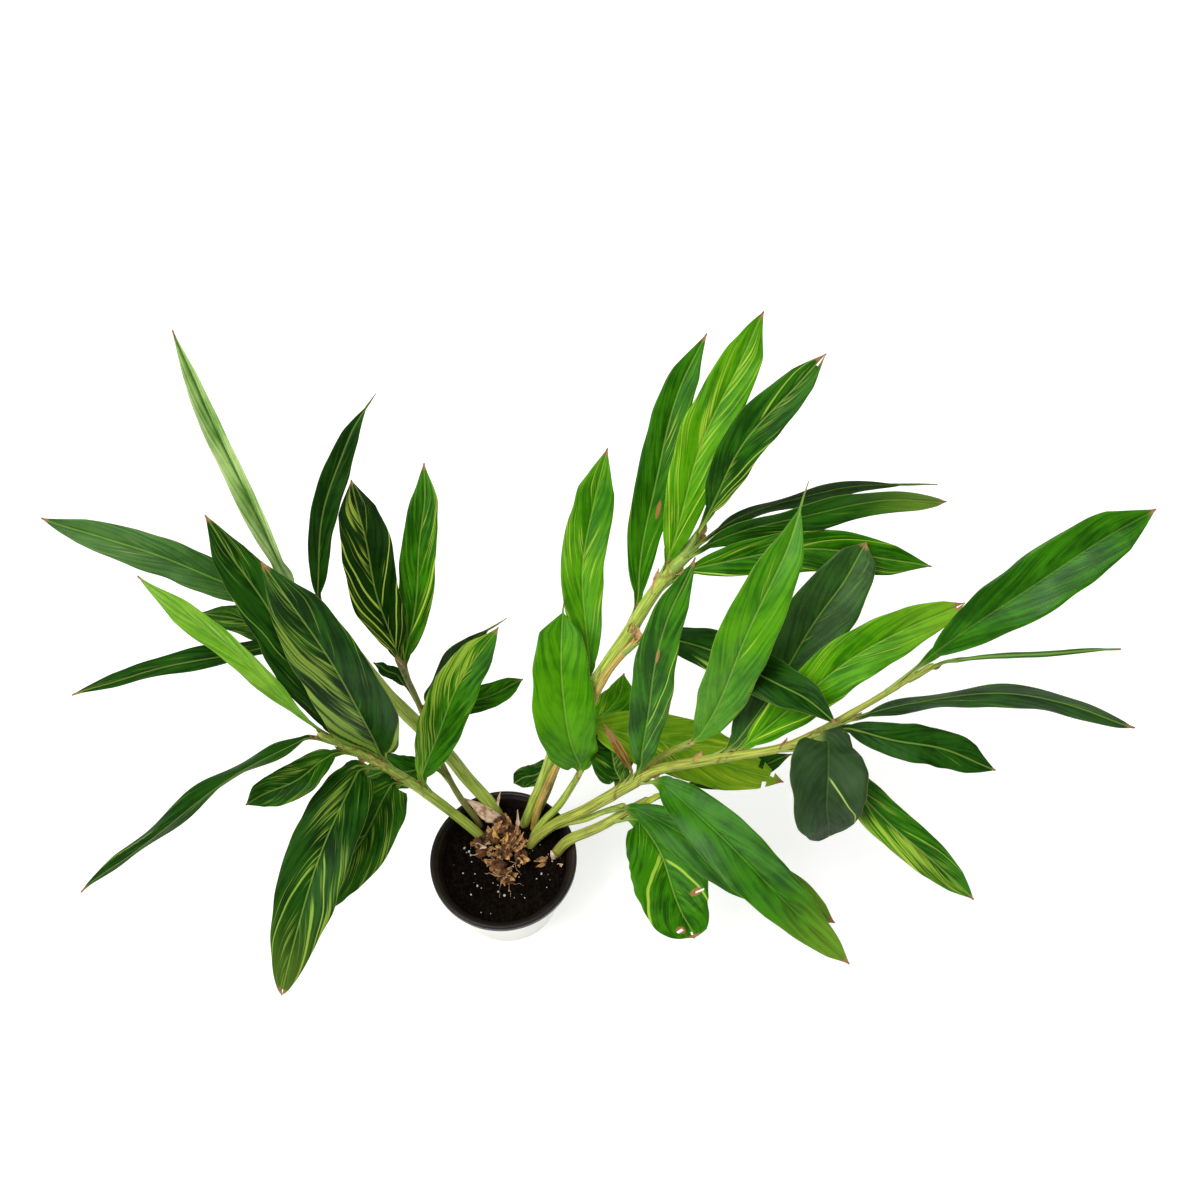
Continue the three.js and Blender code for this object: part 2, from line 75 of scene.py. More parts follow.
def feed(node, inputs):
    for socket, value in inputs.items():
        if isinstance(value, bpy.types.NodeSocket):
            node.id_data.links.new(value, node.inputs[socket])
        else:
            node.inputs[socket].default_value = value


def addNode(tree, kind, inputs=(), **settings):
    node = tree.nodes.new("ShaderNode" + kind)
    for name, value in settings.items():
        setattr(node, name, value)
    feed(node, dict(inputs))
    return node


def calc(operation, a, b=0, c=0):
    return addNode(treeOf(a, b), "Math", {0: a, 1: b, 2: c}, operation=operation).outputs[0]


def times(a, b):
    return calc("MULTIPLY", a, b)


def timesPlus(a, b, c):
    return calc("MULTIPLY_ADD", a, b, c)


def fade(value, low, high, start=0, end=1):
    inputs = {0: value, 1: low, 2: high, 3: start, 4: end}
    return addNode(treeOf(value), "MapRange", inputs, interpolation_type="SMOOTHSTEP").outputs[0]


def blend(share, a, b):
    return addNode(treeOf(share), "Mix", {0: share, 6: a, 7: b}, data_type="RGBA").outputs[2]


def mottle(vector, scale, detail=2, roughness=0.5):
    inputs = {"Vector": vector, "Scale": scale, "Detail": detail, "Roughness": roughness}
    return addNode(treeOf(vector), "TexNoise", inputs).outputs[0]


def triple(x, y, z):
    return addNode(treeOf(x, y, z), "CombineXYZ", {0: x, 1: y, 2: z}).outputs[0]


def objectPlace(tree):
    return addNode(tree, "TexCoord").outputs["Object"]


# How far across or around a cane or leaf a point is, and how far along it.
def growthPlace(tree):
    growth = addNode(tree, "UVMap", uv_map="growth").outputs[0]
    return addNode(tree, "SeparateXYZ", {0: growth}).outputs[:2]


def marked(tree, name):
    return addNode(tree, "Attribute", attribute_name=name).outputs["Fac"]


def startMaterial(name):
    material = bpy.data.materials.new(name)
    material.use_nodes = True
    return material, material.node_tree


def fillShader(tree, colour, roughness, height=None, depth=0.0005, strength=0.5, specular=0.3):
    inputs = {"Base Color": colour, "Roughness": roughness, "Specular IOR Level": specular}
    if height is not None:
        bump = {"Height": height, "Distance": depth, "Strength": strength}
        inputs["Normal"] = addNode(tree, "Bump", bump).outputs[0]
    feed(tree.nodes["Principled BSDF"], inputs)


# Mesh building
def addPiece(mesh, material, slot, *nodes):
    piece = bpy.data.objects.new(mesh.name, mesh)
    bpy.context.scene.collection.objects.link(piece)
    mesh.materials.append(material)
    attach(piece, body)
    if nodes:
        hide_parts(*nodes)


def buildMesh(name, points, faces, uvs=None, facing=True):
    mesh = bpy.data.meshes.new(name)
    mesh.from_pydata([tuple(p) for p in points], [], faces)
    mesh.update()
    if uvs is not None:
        layer = mesh.uv_layers.new(name="growth")
        corners = np.zeros(len(mesh.loops), int)
        mesh.loops.foreach_get("vertex_index", corners)
        layer.data.foreach_set("uv", np.asarray(uvs, np.float32)[corners].ravel())
    if facing:
        work = bmesh.new()
        work.from_mesh(mesh)
        bmesh.ops.recalc_face_normals(work, faces=work.faces)
        work.to_mesh(mesh)
        work.free()
    mesh.shade_smooth()
    return mesh


def takeMesh(work, name):
    mesh = bpy.data.meshes.new(name)
    work.to_mesh(mesh)
    work.free()
    mesh.shade_smooth()
    return mesh


def markMesh(mesh, name, domain, values):
    layer = mesh.attributes.new(name, "FLOAT", domain)
    layer.data.foreach_set("value", np.asarray(values, np.float32))


# The faces of a tube through rings of points, with its ends closed.
def tubeFaces(rows, sides):
    faces = []
    for row in range(rows - 1):
        for i in range(sides):
            a = row * sides + i
            b = row * sides + (i + 1) % sides
            faces.append((a, b, b + sides, a + sides))
    last = (rows - 1) * sides
    return faces + [tuple(range(sides))[::-1], tuple(range(last, last + sides))]


def turnedMesh(name, profile, sides=160):
    points = [(r * math.cos(a), r * math.sin(a), z) for r, z in profile for a in circle(sides)]
    return buildMesh(name, points, tubeFaces(len(profile), sides))


# Closes thin sheets, each an upper and a lower grid of points, and joins them in one mesh.
# Cells marked in torn are left out, and the tear gets its own walls.
def sheetsMesh(name, grids, uvs=None, torn=None):
    points, faces = [], []
    for top, under in grids:
        first = sum(len(k) for k in points)
        count, columns = top.shape[:2]
        total = count * columns
        points += [top.reshape(-1, 3), under.reshape(-1, 3)]
        kept = np.zeros((count + 1, columns + 1), bool)
        kept[1:-1, 1:-1] = True if torn is None else ~torn
        walls = []
        for row in range(count):
            for column in range(columns):
                a = first + row * columns + column
                here = kept[row + 1, column + 1]
                if here:
                    faces.append((a, a + 1, a + columns + 1, a + columns))
                    faces.append((a + total, a + columns + total, a + columns + 1 + total, a + 1 + total))
                if here != kept[row + 1, column]:
                    walls.append((a, a + columns))
                if here != kept[row, column + 1]:
                    walls.append((a, a + 1))
        faces += [(a, b, b + total, a + total) for a, b in walls]
    return buildMesh(name, np.concatenate(points), faces, uvs)


# Camera: it stands where the photographer held it, looking down over the plant.
camera = {"place": (0.102, -0.504, 1.293), "lookDown": 55, "lens": 36, "sensor": 36}


def addCamera():
    data = bpy.data.cameras.new("camera")
    data.lens = camera["lens"]
    data.sensor_width = camera["sensor"]
    eye = bpy.data.objects.new("camera", data)
    eye.location = camera["place"]
    eye.rotation_euler = (math.radians(90 - camera["lookDown"]), 0, 0)
    bpy.context.scene.collection.objects.link(eye)
    bpy.context.scene.camera = eye
    print("camera placed")


# Studio
studio = {
    "sky": 0.4,
    "sunStrength": 2.0, "sunTurn": -70, "sunHeight": 54, "sunSpread": 40,
    "boxPower": 16, "boxSize": 1.2, "boxPlace": (-0.25, -0.35, 2.2),
    "floor": 8, "floorGlow": 0.55, "floorTones": ("d6d5d2", "dddcda"),
}


def addLight(name, kind, strength):
    light = bpy.data.lights.new(name, kind)
    light.energy = strength
    lamp = bpy.data.objects.new(name, light)
    bpy.context.scene.collection.objects.link(lamp)
    return lamp


def addStudio():
    scene = bpy.context.scene
    scene.world = bpy.data.worlds.new("studio")
    scene.world.use_nodes = True
    feed(scene.world.node_tree.nodes["Background"], {"Color": (1, 1, 1, 1), "Strength": studio["sky"]})
    scene.view_settings.view_transform = "Standard"
    sun = addLight("sun", "SUN", studio["sunStrength"])
    sun.data.angle = math.radians(studio["sunSpread"])
    sun.rotation_euler = (math.radians(90 - studio["sunHeight"]), 0, math.radians(studio["sunTurn"]))
    box = addLight("softbox", "AREA", studio["boxPower"])
    box.data.size = studio["boxSize"]
    box.location = studio["boxPlace"]
    material, tree = startMaterial("studio floor")
    grain = mottle(objectPlace(tree), 40, 3)
    fillShader(tree, blend(grain, *map(tint, studio["floorTones"])), 0.8)
    glow = {"Emission Color": (1, 1, 1, 1), "Emission Strength": studio["floorGlow"]}
    feed(tree.nodes["Principled BSDF"], glow)
    half = studio["floor"] / 2
    corners = [(-half, -half, 0), (half, -half, 0), (half, half, 0), (-half, half, 0)]
    mesh = buildMesh("floor", corners, [(0, 1, 2, 3)], facing=False)
    mesh.materials.append(material)
    floor = bpy.data.objects.new("floor", mesh)
    scene.collection.objects.link(floor)
    print("studio lit")


# Canes: each one's finish, its leaves' name, its radii from foot to top and the points that it grows through.
canes = {
    "left_cane": dict(finish="green", leafName="left_leaf", radii=(0.0044, 0.0047, 0.0037), points=[
        (-0.018, 0.026, 0.062), (-0.029, 0.03, 0.092), (-0.057, 0.043, 0.122), (-0.086, 0.049, 0.165),
        (-0.109, 0.046, 0.212), (-0.139, 0.043, 0.262), (-0.162, 0.037, 0.302),
    ]),
    "upper_left_cane": dict(finish="green", leafName="upper_left_leaf", radii=(0.006, 0.007, 0.0042), points=[
        (-0.004, 0.046, 0.062), (-0.009, 0.053, 0.086), (-0.017, 0.06, 0.104), (-0.039, 0.076, 0.128),
        (-0.058, 0.087, 0.165), (-0.091, 0.102, 0.215), (-0.113, 0.107, 0.264), (-0.147, 0.127, 0.335),
        (-0.177, 0.134, 0.385),
    ]),
    "back_left_cane": dict(finish="brown", leafName="back_left_leaf", radii=(0.003, 0.0029, 0.0034), points=[
        (-0.024, 0.038, 0.062), (-0.03, 0.044, 0.093), (-0.044, 0.057, 0.11), (-0.057, 0.074, 0.122),
        (-0.069, 0.093, 0.14), (-0.082, 0.118, 0.185), (-0.091, 0.128, 0.23), (-0.099, 0.13, 0.29),
    ]),
    "middle_cane": dict(finish="green", leafName="middle_leaf", radii=(0.0042, 0.007, 0.005), points=[
        (0.012, 0.042, 0.062), (0.022, 0.046, 0.092), (0.031, 0.052, 0.122), (0.045, 0.063, 0.165),
        (0.06, 0.075, 0.215), (0.092, 0.09, 0.29), (0.125, 0.114, 0.345), (0.152, 0.135, 0.393),
        (0.171, 0.147, 0.418), (0.199, 0.184, 0.43),
    ]),
    "middle_side_cane": dict(finish="gold", leafName="side_leaf", radii=(0.0036, 0.0034, 0.0032), points=[
        (0.028, 0.035, 0.062), (0.031, 0.04, 0.092), (0.038, 0.044, 0.136), (0.047, 0.052, 0.162),
        (0.061, 0.06, 0.202), (0.071, 0.062, 0.226), (0.086, 0.071, 0.264), (0.101, 0.084, 0.305),
        (0.113, 0.093, 0.329), (0.141, 0.112, 0.358),
    ]),
    "young_shoot": dict(finish="green", leafName="shoot_leaf", radii=(0.0034, 0.004, 0.003), points=[
        (0.024, 0.026, 0.062), (0.032, 0.031, 0.093), (0.043, 0.038, 0.11), (0.055, 0.043, 0.126),
        (0.064, 0.048, 0.141), (0.078, 0.054, 0.176), (0.084, 0.055, 0.195),
    ]),
    "right_cane": dict(finish="olive", leafName="right_leaf", radii=(0.004, 0.0052, 0.0039, 0.0031), points=[
        (0.02, 0.014, 0.062), (0.03, 0.022, 0.09), (0.056, 0.03, 0.12), (0.085, 0.031, 0.148),
        (0.112, 0.033, 0.178), (0.134, 0.035, 0.203), (0.158, 0.036, 0.23), (0.197, 0.024, 0.272),
        (0.232, 0.014, 0.304), (0.272, 0.008, 0.334), (0.333, 0.018, 0.39), (0.384, 0.033, 0.432),
    ]),
    "right_branch": dict(finish="olive", leafName="branch_leaf", radii=(0.0038, 0.003), points=[
        (0.136, 0.036, 0.204), (0.163, 0.047, 0.238), (0.193, 0.041, 0.28),
    ], grownFrom="right_cane"),
    "right_sheath": dict(finish="green", leafName="sheath_leaf", radii=(0.0034, 0.0028), points=[
        (0.052, 0.028, 0.114), (0.066, 0.028, 0.124), (0.085, 0.027, 0.135), (0.102, 0.029, 0.146),
        (0.128, 0.03, 0.165),
    ], grownFrom="right_cane"),
    "lower_right_cane": dict(finish="olive", leafName="low_leaf", radii=(0.0054, 0.0054, 0.0042), points=[
        (0.048, 0.006, 0.064), (0.057, 0.011, 0.09), (0.069, 0.015, 0.11), (0.086, 0.018, 0.121),
        (0.102, 0.021, 0.131), (0.131, 0.029, 0.152), (0.153, 0.035, 0.168),
    ]),
    "back_cane": dict(finish="brown", leafName="back_leaf", radii=(0.0045, 0.003), points=[
        (0.026, 0.05, 0.066), (0.033, 0.052, 0.092), (0.046, 0.068, 0.12), (0.057, 0.084, 0.146),
        (0.068, 0.094, 0.168),
    ]),
}


def measured(path):
    steps = np.r_[0, np.cumsum(np.linalg.norm(np.diff(path, axis=0), axis=1))]
    return {"path": path, "shares": steps / steps[-1], "length": steps[-1]}


# A centripetal spline through the points, with the share of its length at each sample.
def growthLine(points):
    knots = [np.array(p, float) for p in points]
    samples = []
    for i in range(len(knots) - 1):
        p1, p2 = knots[i], knots[i + 1]
        p0 = knots[i - 1] if i > 0 else 2 * p1 - p2
        p3 = knots[i + 2] if i + 2 < len(knots) else 2 * p2 - p1
        d0, d1, d2 = (np.linalg.norm(b - a) ** 0.5 for a, b in ((p0, p1), (p1, p2), (p2, p3)))
        t1 = ((p1 - p0) / d0 - (p2 - p0) / (d0 + d1) + (p2 - p1) / d1) * d1
        t2 = ((p2 - p1) / d1 - (p3 - p1) / (d1 + d2) + (p3 - p2) / d2) * d1
        t = np.linspace(0, 1, 40, endpoint=False)[:, None]
        bend = (3 * (p2 - p1) - 2 * t1 - t2) * t**2 + (2 * (p1 - p2) + t1 + t2) * t**3
        samples.append(p1 + t1 * t + bend)
    samples.append(knots[-1][None])
    return measured(np.concatenate(samples))


for cane in canes.values():
    cane["line"] = growthLine(cane["points"])


def placeAt(line, share):
    return np.stack([np.interp(share, line["shares"], line["path"][:, k]) for k in range(3)], -1)


def wayAt(line, share, reach=0.004):
    share = np.asarray(share, float)
    return unit(placeAt(line, np.minimum(share + reach, 1)) - placeAt(line, np.maximum(share - reach, 0)))


def caneRadius(cane, share):
    return np.interp(share, np.linspace(0, 1, len(cane["radii"])), cane["radii"])


# Where a leaf grows from the cane's middle line, the cane's own way there, and the way out to the leaf.
def outOfCane(cane, leaf):
    centre = placeAt(cane["line"], leaf["at"])
    along = wayAt(cane["line"], leaf["at"])
    out = np.array(leaf["tip"]) - centre
    return centre, along, unit(out - along * out.dot(along))


stem = {
    "rows": 200, "sides": 24,
    "sheathStep": 0.0002,  # how much each leaf's sheath stands proud of the one inside it
    "sheathSlant": 0.016, "scarLength": 0.0035,
    "ridges": 9, "ridgeDepth": 0.00012, "lumps": 0.0003,
    "endShrink": 0.6, "endLength": 0.004,
}


def caneMesh(name, cane):
    line, rows, sides = cane["line"], stem["rows"], stem["sides"]
    shares = np.linspace(0, 1, rows)
    centres, ways = placeAt(line, shares), wayAt(line, shares)
    side = unit(np.cross(ways[0], (0, 0, 1)))
    angles = circle(sides)
    outs = [(leaf["at"], outOfCane(cane, leaf)[2]) for leaf in leaves[name]]
    points, marks, uvs = [], [], []
    for centre, way, share in zip(centres, ways, shares):
        side = unit(side - way * side.dot(way))
        around = side * np.cos(angles)[:, None] + np.cross(side, way) * np.sin(angles)[:, None]
        size = caneRadius(cane, share)
        size = size * (1 - stem["endShrink"] * smooth(share, 1 - stem["endLength"] / line["length"], 1.004))
        size = size + stem["ridgeDepth"] * np.sin(angles * stem["ridges"] + share * 5)
        mark = np.zeros(sides)
        for at, out in outs:
            ahead = (share - at) * line["length"] + stem["sheathSlant"] * (1 - around @ out) / 2
            size = size + stem["sheathStep"] * (0.5 - smooth(ahead, -0.0005, 0.0012))
            mark = np.maximum(mark, 1 - np.abs(ahead) / stem["scarLength"])
        size = size + [stem["lumps"] * noise.noise(Vector(centre) * 60 + Vector(spoke)) for spoke in around]
        points.append(centre + around * size[:, None])
        marks.append(mark)
        uvs.append(np.stack([angles / (2 * math.pi), np.full(sides, share * line["length"])], -1))
    mesh = buildMesh("stem." + name, np.concatenate(points), tubeFaces(rows, sides), np.concatenate(uvs))
    markMesh(mesh, "scar", "POINT", np.concatenate(marks))
    return mesh


# Each finish: the two tones of the skin, the tones at its foot and on its scars, and how stained it is.
caneFinishes = {
    "green": dict(slot="green_cane", skin=("7a9526", "b6c858"), foot="9aa44c", scar="6a4a22", stain=0.3),
    "olive": dict(slot="green_cane", skin=("6f7a22", "b0b84c"), foot="9a9448", scar="5a3c1c", stain=0.5),
    "gold": dict(slot="gold_cane", skin=("9a7626", "cdb864"), foot="a88a3c", scar="7a4a1c", stain=0.6),
    "brown": dict(slot="brown_cane", skin=("5e6428", "8c8a44"), foot="5a4a28", scar="4a3018", stain=0.8),
}


def caneMaterial(name, look):
    material, tree = startMaterial("cane " + name)
    around, along = growthPlace(tree)
    ring = [calc(kind, times(around, 2 * math.pi)) for kind in ("COSINE", "SINE")]
    streaks = mottle(triple(*ring, times(along, 6)), 5, 4, 0.6)
    skin = blend(fade(streaks, 0.38, 0.6), *map(tint, look["skin"]))
    skin = blend(times(fade(along, 0.06, 0.02), 0.7), skin, tint(look["foot"]))
    stain = fade(mottle(objectPlace(tree), 38, 3), 0.58, 0.75)
    skin = blend(times(stain, look["stain"]), skin, tint(look["scar"]))
    scar = times(marked(tree, "scar"), fade(mottle(objectPlace(tree), 160), 0.35, 0.6))
    skin = blend(times(scar, 0.85), skin, tint(look["scar"]))
    fine = mottle(triple(*ring, times(along, 12)), 22, 2)
    fillShader(tree, skin, fade(streaks, 0.2, 0.8, 0.4, 0.58), fine, 0.0004)
    return material


# Leaves: what a leaf has unless its own row says otherwise.
leafShape = {
    "arch": 0.014, "sway": 0, "hook": 0, "bend": 0.0025,  # how its midrib leaves the straight line
    "roll": 0, "fold": 14, "wave": 0.0025, "waves": 2.5,
    "full": 1.7, "widest": 0.45, "point": 2.1, "tail": 0,
    "stalk": 0.006, "stalkRadius": 0.0017, "thick": 0.0009,
    # grain sets how strongly the painted light and shade patches show on the blade; the crease strength is
    # painted shade laid along the midrib.
    "gloss": 0.36, "shine": 0.06, "grain": 1, "rib": 0.34, "crease": 0.25, "paleTip": 0, "brown": 0.028,
    "bands": (),  # pale bands: half, where it leaves the midrib, width, strength, distance from the midrib
    "spots": (),  # brown spots: across, along, width, length
    "tears": (),  # torn cells: from and to across, from and to along
}


# One leaf: how far up its cane it grows, its tip, width and green, and how striped its halves are.
def grow(at, tip, width, green, stripes, **more):
    return {**leafShape, **dict(at=at, tip=tip, width=width, green=green, stripes=stripes), **more}


leaves = {
    "left_cane": [
        grow(0.97, (-0.301, 0.119, 0.445), 0.025, "young", (0.25, 0.2), arch=0.016, sway=0.003, roll=-15,
            widest=0.58, shine=0.2, grain=0.8),
        grow(0.93, (-0.245, 0.154, 0.48), 0.046, "deep", (0.05, 0.4), arch=0.01, sway=0.009,
            bands=[("right", 0.16, 0.012, 0.8, 0.1), ("left", 0.3, 0.01, 0.7, 0.3)]),
        grow(1, (-0.348, -0.116, 0.29), 0.034, "deep", (0.2, 0.1), sway=0.008, roll=55, wave=0.004,
            brown=0.02, bands=[("right", 0.52, 0.02, 0.9, 0.5)]),
        grow(0.87, (-0.228, -0.02, 0.27), 0.034, "dark", (0.3, 0.4), sway=-0.003, brown=0.03),
        grow(0.69, (-0.195, 0.124, 0.455), 0.068, "deep", (0.5, 0.05), arch=0.034, sway=0.014, bend=0.001,
            full=1.5, widest=0.38, point=1.8, shine=0.15, brown=0.03,
            bands=[("left", 0.02, 0.06, 0.75, 0.1), ("left", 0.14, 0.05, 0.75, 0.3),
            ("left", -0.12, 0.06, 0.7, 0.2), ("right", -0.16, 0.06, 0.85, 0.1)]),
        grow(0.76, (-0.194, -0.166, 0.17), 0.064, "deep", (0.4, 0.42), arch=0.025, sway=0.004, bend=0.001,
            full=1.5, widest=0.33, point=3.5, shine=0.05, paleTip=0.2, brown=0.03,
            bands=[("left", 0.4, 0.014, 0.8, 0.1), ("left", 0.56, 0.03, 0.8, 0.2),
            ("right", 0.46, 0.016, 0.8, 0.1)], tears=[(-0.12, 0.12, 0.972, 1)]),
        grow(0.58, (-0.181, -0.081, 0.15), 0.062, "dark", (0.5, 0.45), arch=0.02, sway=-0.004, full=1.3,
            widest=0.32, stalk=0.002),
        grow(0.46, (0, 0.159, 0.3), 0.047, "mid", (0.85, 0.1), arch=0.024, sway=-0.005),
    ],
    "upper_left_cane": [
        grow(1, (-0.26, 0.269, 0.59), 0.034, "pale", (0.3, 0.3), bend=0.001, fold=58, grain=0.3, rib=0.05,
            crease=0.55),
        grow(0.97, (-0.39, 0.164, 0.47), 0.035, "dull", (0.08, 0.12), sway=-0.002, wave=0.004, shine=0.15),
        grow(0.86, (-0.359, 0.027, 0.385), 0.026, "deep", (0.1, 0.1), arch=0.006, sway=0.006, roll=35),
        grow(0.95, (-0.106, 0.279, 0.505), 0.026, "deep", (0, 0.15), sway=-0.007, hook=-0.008, roll=30,
            tail=0.014, brown=0.02),
        grow(0.8, (-0.279, 0.143, 0.35), 0.03, "dark", (0.4, 0.5)),
        grow(0.45, (0.021, 0.155, 0.205), 0.027, "mid", (0.3, 0.2)),
    ],
    "back_left_cane": [
        grow(0.97, (-0.14, 0.256, 0.41), 0.052, "night", (0.35, 0.25), full=1.5,
            bands=[("left", -0.22, 0.03, 1, 0.1), ("left", -0.1, 0.014, 1, 0.1),
            ("left", 0.05, 0.024, 1, 0), ("left", 0.17, 0.014, 0.8, 0.2), ("left", 0.3, 0.02, 0.9, 0),
            ("right", -0.1, 0.012, 0.8, 0.2), ("right", 0.04, 0.02, 1, 0),
            ("right", 0.3, 0.014, 0.8, 0.1)]),
        grow(0.93, (-0.065, 0.273, 0.415), 0.036, "mid", (0.2, 0.35), sway=0.006, full=1.4,
            bands=[("right", 0.16, 0.03, 1, 0), ("left", -0.08, 0.05, 1, 0.1)]),
        grow(0.4, (-0.15, 0.082, 0.125), 0.038, "dark", (0.1, 0.1)),
        grow(0.66, (0.006, 0.172, 0.3), 0.03, "grey", (0.1, 0), sway=-0.008, roll=50, tail=0.02),
    ],
    "middle_cane": [
        grow(0.57, (0.108, 0.27, 0.44), 0.044, "fresh", (0.35, 0.25), arch=-0.01, sway=-0.013, full=1.4,
            widest=0.5, point=2.2, shine=0.1, grain=0.7, brown=0.03),
        grow(0.77, (0.197, 0.314, 0.545), 0.038, "mid", (0.05, 0.15), sway=-0.014, grain=0.6,
            spots=[(0.45, 0.36, 0.12, 0.035)]),
        grow(0.89, (0.249, 0.32, 0.565), 0.045, "fresh", (0.55, 0.5), arch=0.017, sway=-0.008, wave=0.004,
            waves=4, full=1.4, grain=0.8, brown=0.03, bands=[("left", -0.05, 0.02, 0.9, 0.1),
            ("left", 0.15, 0.014, 0.7, 0), ("right", 0.05, 0.02, 0.8, 0)]),
        grow(0.98, (0.292, 0.239, 0.59), 0.038, "dark", (0.1, 0.3), arch=0.028, sway=-0.011, stalk=0.024,
            brown=0.05, bands=[("right", -0.14, 0.05, 0.9, 0.3), ("left", 0.62, 0.02, 0.9, 0.1),
            ("right", -0.02, 0.03, 0.85, 0.35), ("right", 0.08, 0.02, 0.9, 0.2),
            ("right", 0.2, 0.018, 0.9, 0.2)], tears=[(0.05, 0.4, 0.94, 1)]),
        grow(0.97, (0.405, 0.194, 0.47), 0.02, "grey", (0, 0), sway=-0.024, hook=0.01, roll=55, tail=0.03),
        grow(0.94, (0.408, 0.179, 0.475), 0.034, "dark", (0, 0.15), sway=-0.014, hook=0.006, roll=50,
            point=4, paleTip=0.35, brown=0.025, bands=[("right", 0.1, 0.02, 0.8, 0.6)]),
        grow(0.89, (0.399, 0.134, 0.43), 0.04, "mid", (0.3, 0.25), arch=0.004, sway=-0.017, roll=20,
            bands=[("right", -0.16, 0.04, 1, 0.1), ("left", 0.45, 0.012, 0.9, 0.1)]),
    ],
    "middle_side_cane": [
        grow(0.64, (0.291, 0.05, 0.175), 0.062, "lime", (0.25, 0.4), arch=-0.016, sway=-0.002, widest=0.4,
            grain=0.7, paleTip=0.2, brown=0.03, tears=[(-1, -0.5, 0.86, 0.885), (-1, -0.2, 0.93, 0.95),
            (0.5, 1, 0.9, 0.92)]),
        grow(1, (0.306, 0, 0.394), 0.042, "deep", (0, 0.05), arch=-0.009, sway=-0.01, hook=-0.002,
            bands=[("right", 0.1, 0.06, 0.9, 0.6)]),
    ],
    "young_shoot": [
        grow(1, (0.069, 0.16, 0.347), 0.06, "fresh", (0, 0), arch=0.038, sway=-0.012, bend=0.001, full=1.1,
            point=3, tail=0.012, grain=0.3),
    ],
    "right_cane": [
        grow(0.39, (0.18, 0.118, 0.47), 0.039, "mid", (0.05, 0.2), arch=0.022, sway=-0.01, shine=0.15,
            bands=[("right", 0.3, 0.014, 0.8, 0), ("right", 0.12, 0.012, 0.6, 0.1)],
            spots=[(0.05, 0.62, 0.1, 0.03)]),
        grow(0.6, (0.341, 0.145, 0.452), 0.062, "satin", (0, 0.05), arch=0, full=1.35, widest=0.5,
            point=4.5, shine=0.2, brown=0.015),
        grow(0.62, (0.421, 0.1, 0.43), 0.046, "fresh", (0.15, 0.25), arch=0.02, sway=-0.012, point=3,
            paleTip=0.3, brown=0.04, bands=[("right", 0.02, 0.02, 0.9, 0), ("left", -0.15, 0.05, 0.8, 0.3)],
            tears=[(-0.1, 0.2, 0.965, 1)]),
        grow(0.96, (0.54, 0.098, 0.56), 0.05, "mid", (0, 0), arch=0.018, sway=-0.006, bend=0.001,
            widest=0.5, point=2.3, stalk=0.024, gloss=0.25, shine=0.1, grain=0.6, rib=0.12),
        grow(1, (0.526, 0.024, 0.47), 0.005, "dull", (0, 0), sway=-0.001, bend=0.001, fold=0, thick=0.004),
        grow(0.84, (0.54, -0.024, 0.43), 0.028, "deep", (0.1, 0.1), sway=-0.024, hook=0.004, roll=50,
            point=3.5, shine=0.22),
        grow(0.81, (0.444, -0.03, 0.36), 0.034, "deep", (0, 0.1), sway=-0.003, point=1.9, brown=0.02),
        grow(0.79, (0.307, -0.065, 0.3), 0.068, "grey", (0, 0), arch=0.034, sway=0.009, bend=0.001,
            full=1.25, widest=0.3, point=2.6, gloss=0.6, shine=0.18, grain=0.5, rib=0.08,
            bands=[("left", 0.4, 0.013, 1, 0.02)]),
        grow(0.74, (0.437, -0.107, 0.25), 0.036, "mid", (0.15, 0.7), sway=-0.002, point=2.2, shine=0.15,
            brown=0.03, bands=[("right", 0.3, 0.05, 0.9, 0.4), ("left", 0.5, 0.01, 0.7, 0.2)]),
        grow(0.41, (0.333, -0.143, 0.185), 0.054, "mid", (0, 0), arch=0.02, sway=-0.002, bend=0.001,
            widest=0.36, gloss=0.3, shine=0.16, grain=0.7, rib=0.1, paleTip=0.3),
        grow(0.33, (0.104, 0.096, 0.218), 0.046, "dark", (0.4, 0.35), arch=0.004, sway=-0.003, full=1.3,
            widest=0.35, stalk=0.002),
    ],
    "right_branch": [
        grow(1, (0.282, 0.158, 0.52), 0.05, "fresh", (0.2, 0.2), arch=0.04, tail=0.022, gloss=0.28,
            shine=0.18, grain=0.5),
    ],
    "right_sheath": [
        grow(1, (0.328, -0.097, 0.18), 0.05, "mid", (0, 0), arch=0.008, point=3, shine=0.12, grain=0.5,
            rib=0.1, paleTip=0.3),
    ],
    "lower_right_cane": [
        grow(0.86, (0.192, -0.098, 0.125), 0.076, "mid", (0.1, 0.1), arch=0.008, sway=-0.006, full=1.2,
            point=6, bands=[("right", 0.38, 0.028, 0.9, 0), ("left", 0.42, 0.02, 0.9, 0.05)],
            spots=[(0.42, 0.9, 0.2, 0.035), (-0.62, 0.7, 0.2, 0.03)], tears=[(0.3, 0.55, 0.885, 0.915),
            (-0.82, -0.55, 0.69, 0.715), (0, 0.16, 0.945, 0.97)]),
        grow(1, (0.303, 0.078, 0.175), 0.024, "dark", (0.1, 0.1), arch=-0.01, wave=0.001, stalk=0.045),
    ],
    "back_cane": [
        grow(0.8, (0.009, 0.076, 0.118), 0.024, "deep", (0.4, 0.2), arch=0.005, full=1.2, stalk=0.002),
        grow(1, (0.129, 0.139, 0.24), 0.036, "fresh", (0.4, 0.2), arch=0, sway=0.009, stalk=0.02),
    ],
}
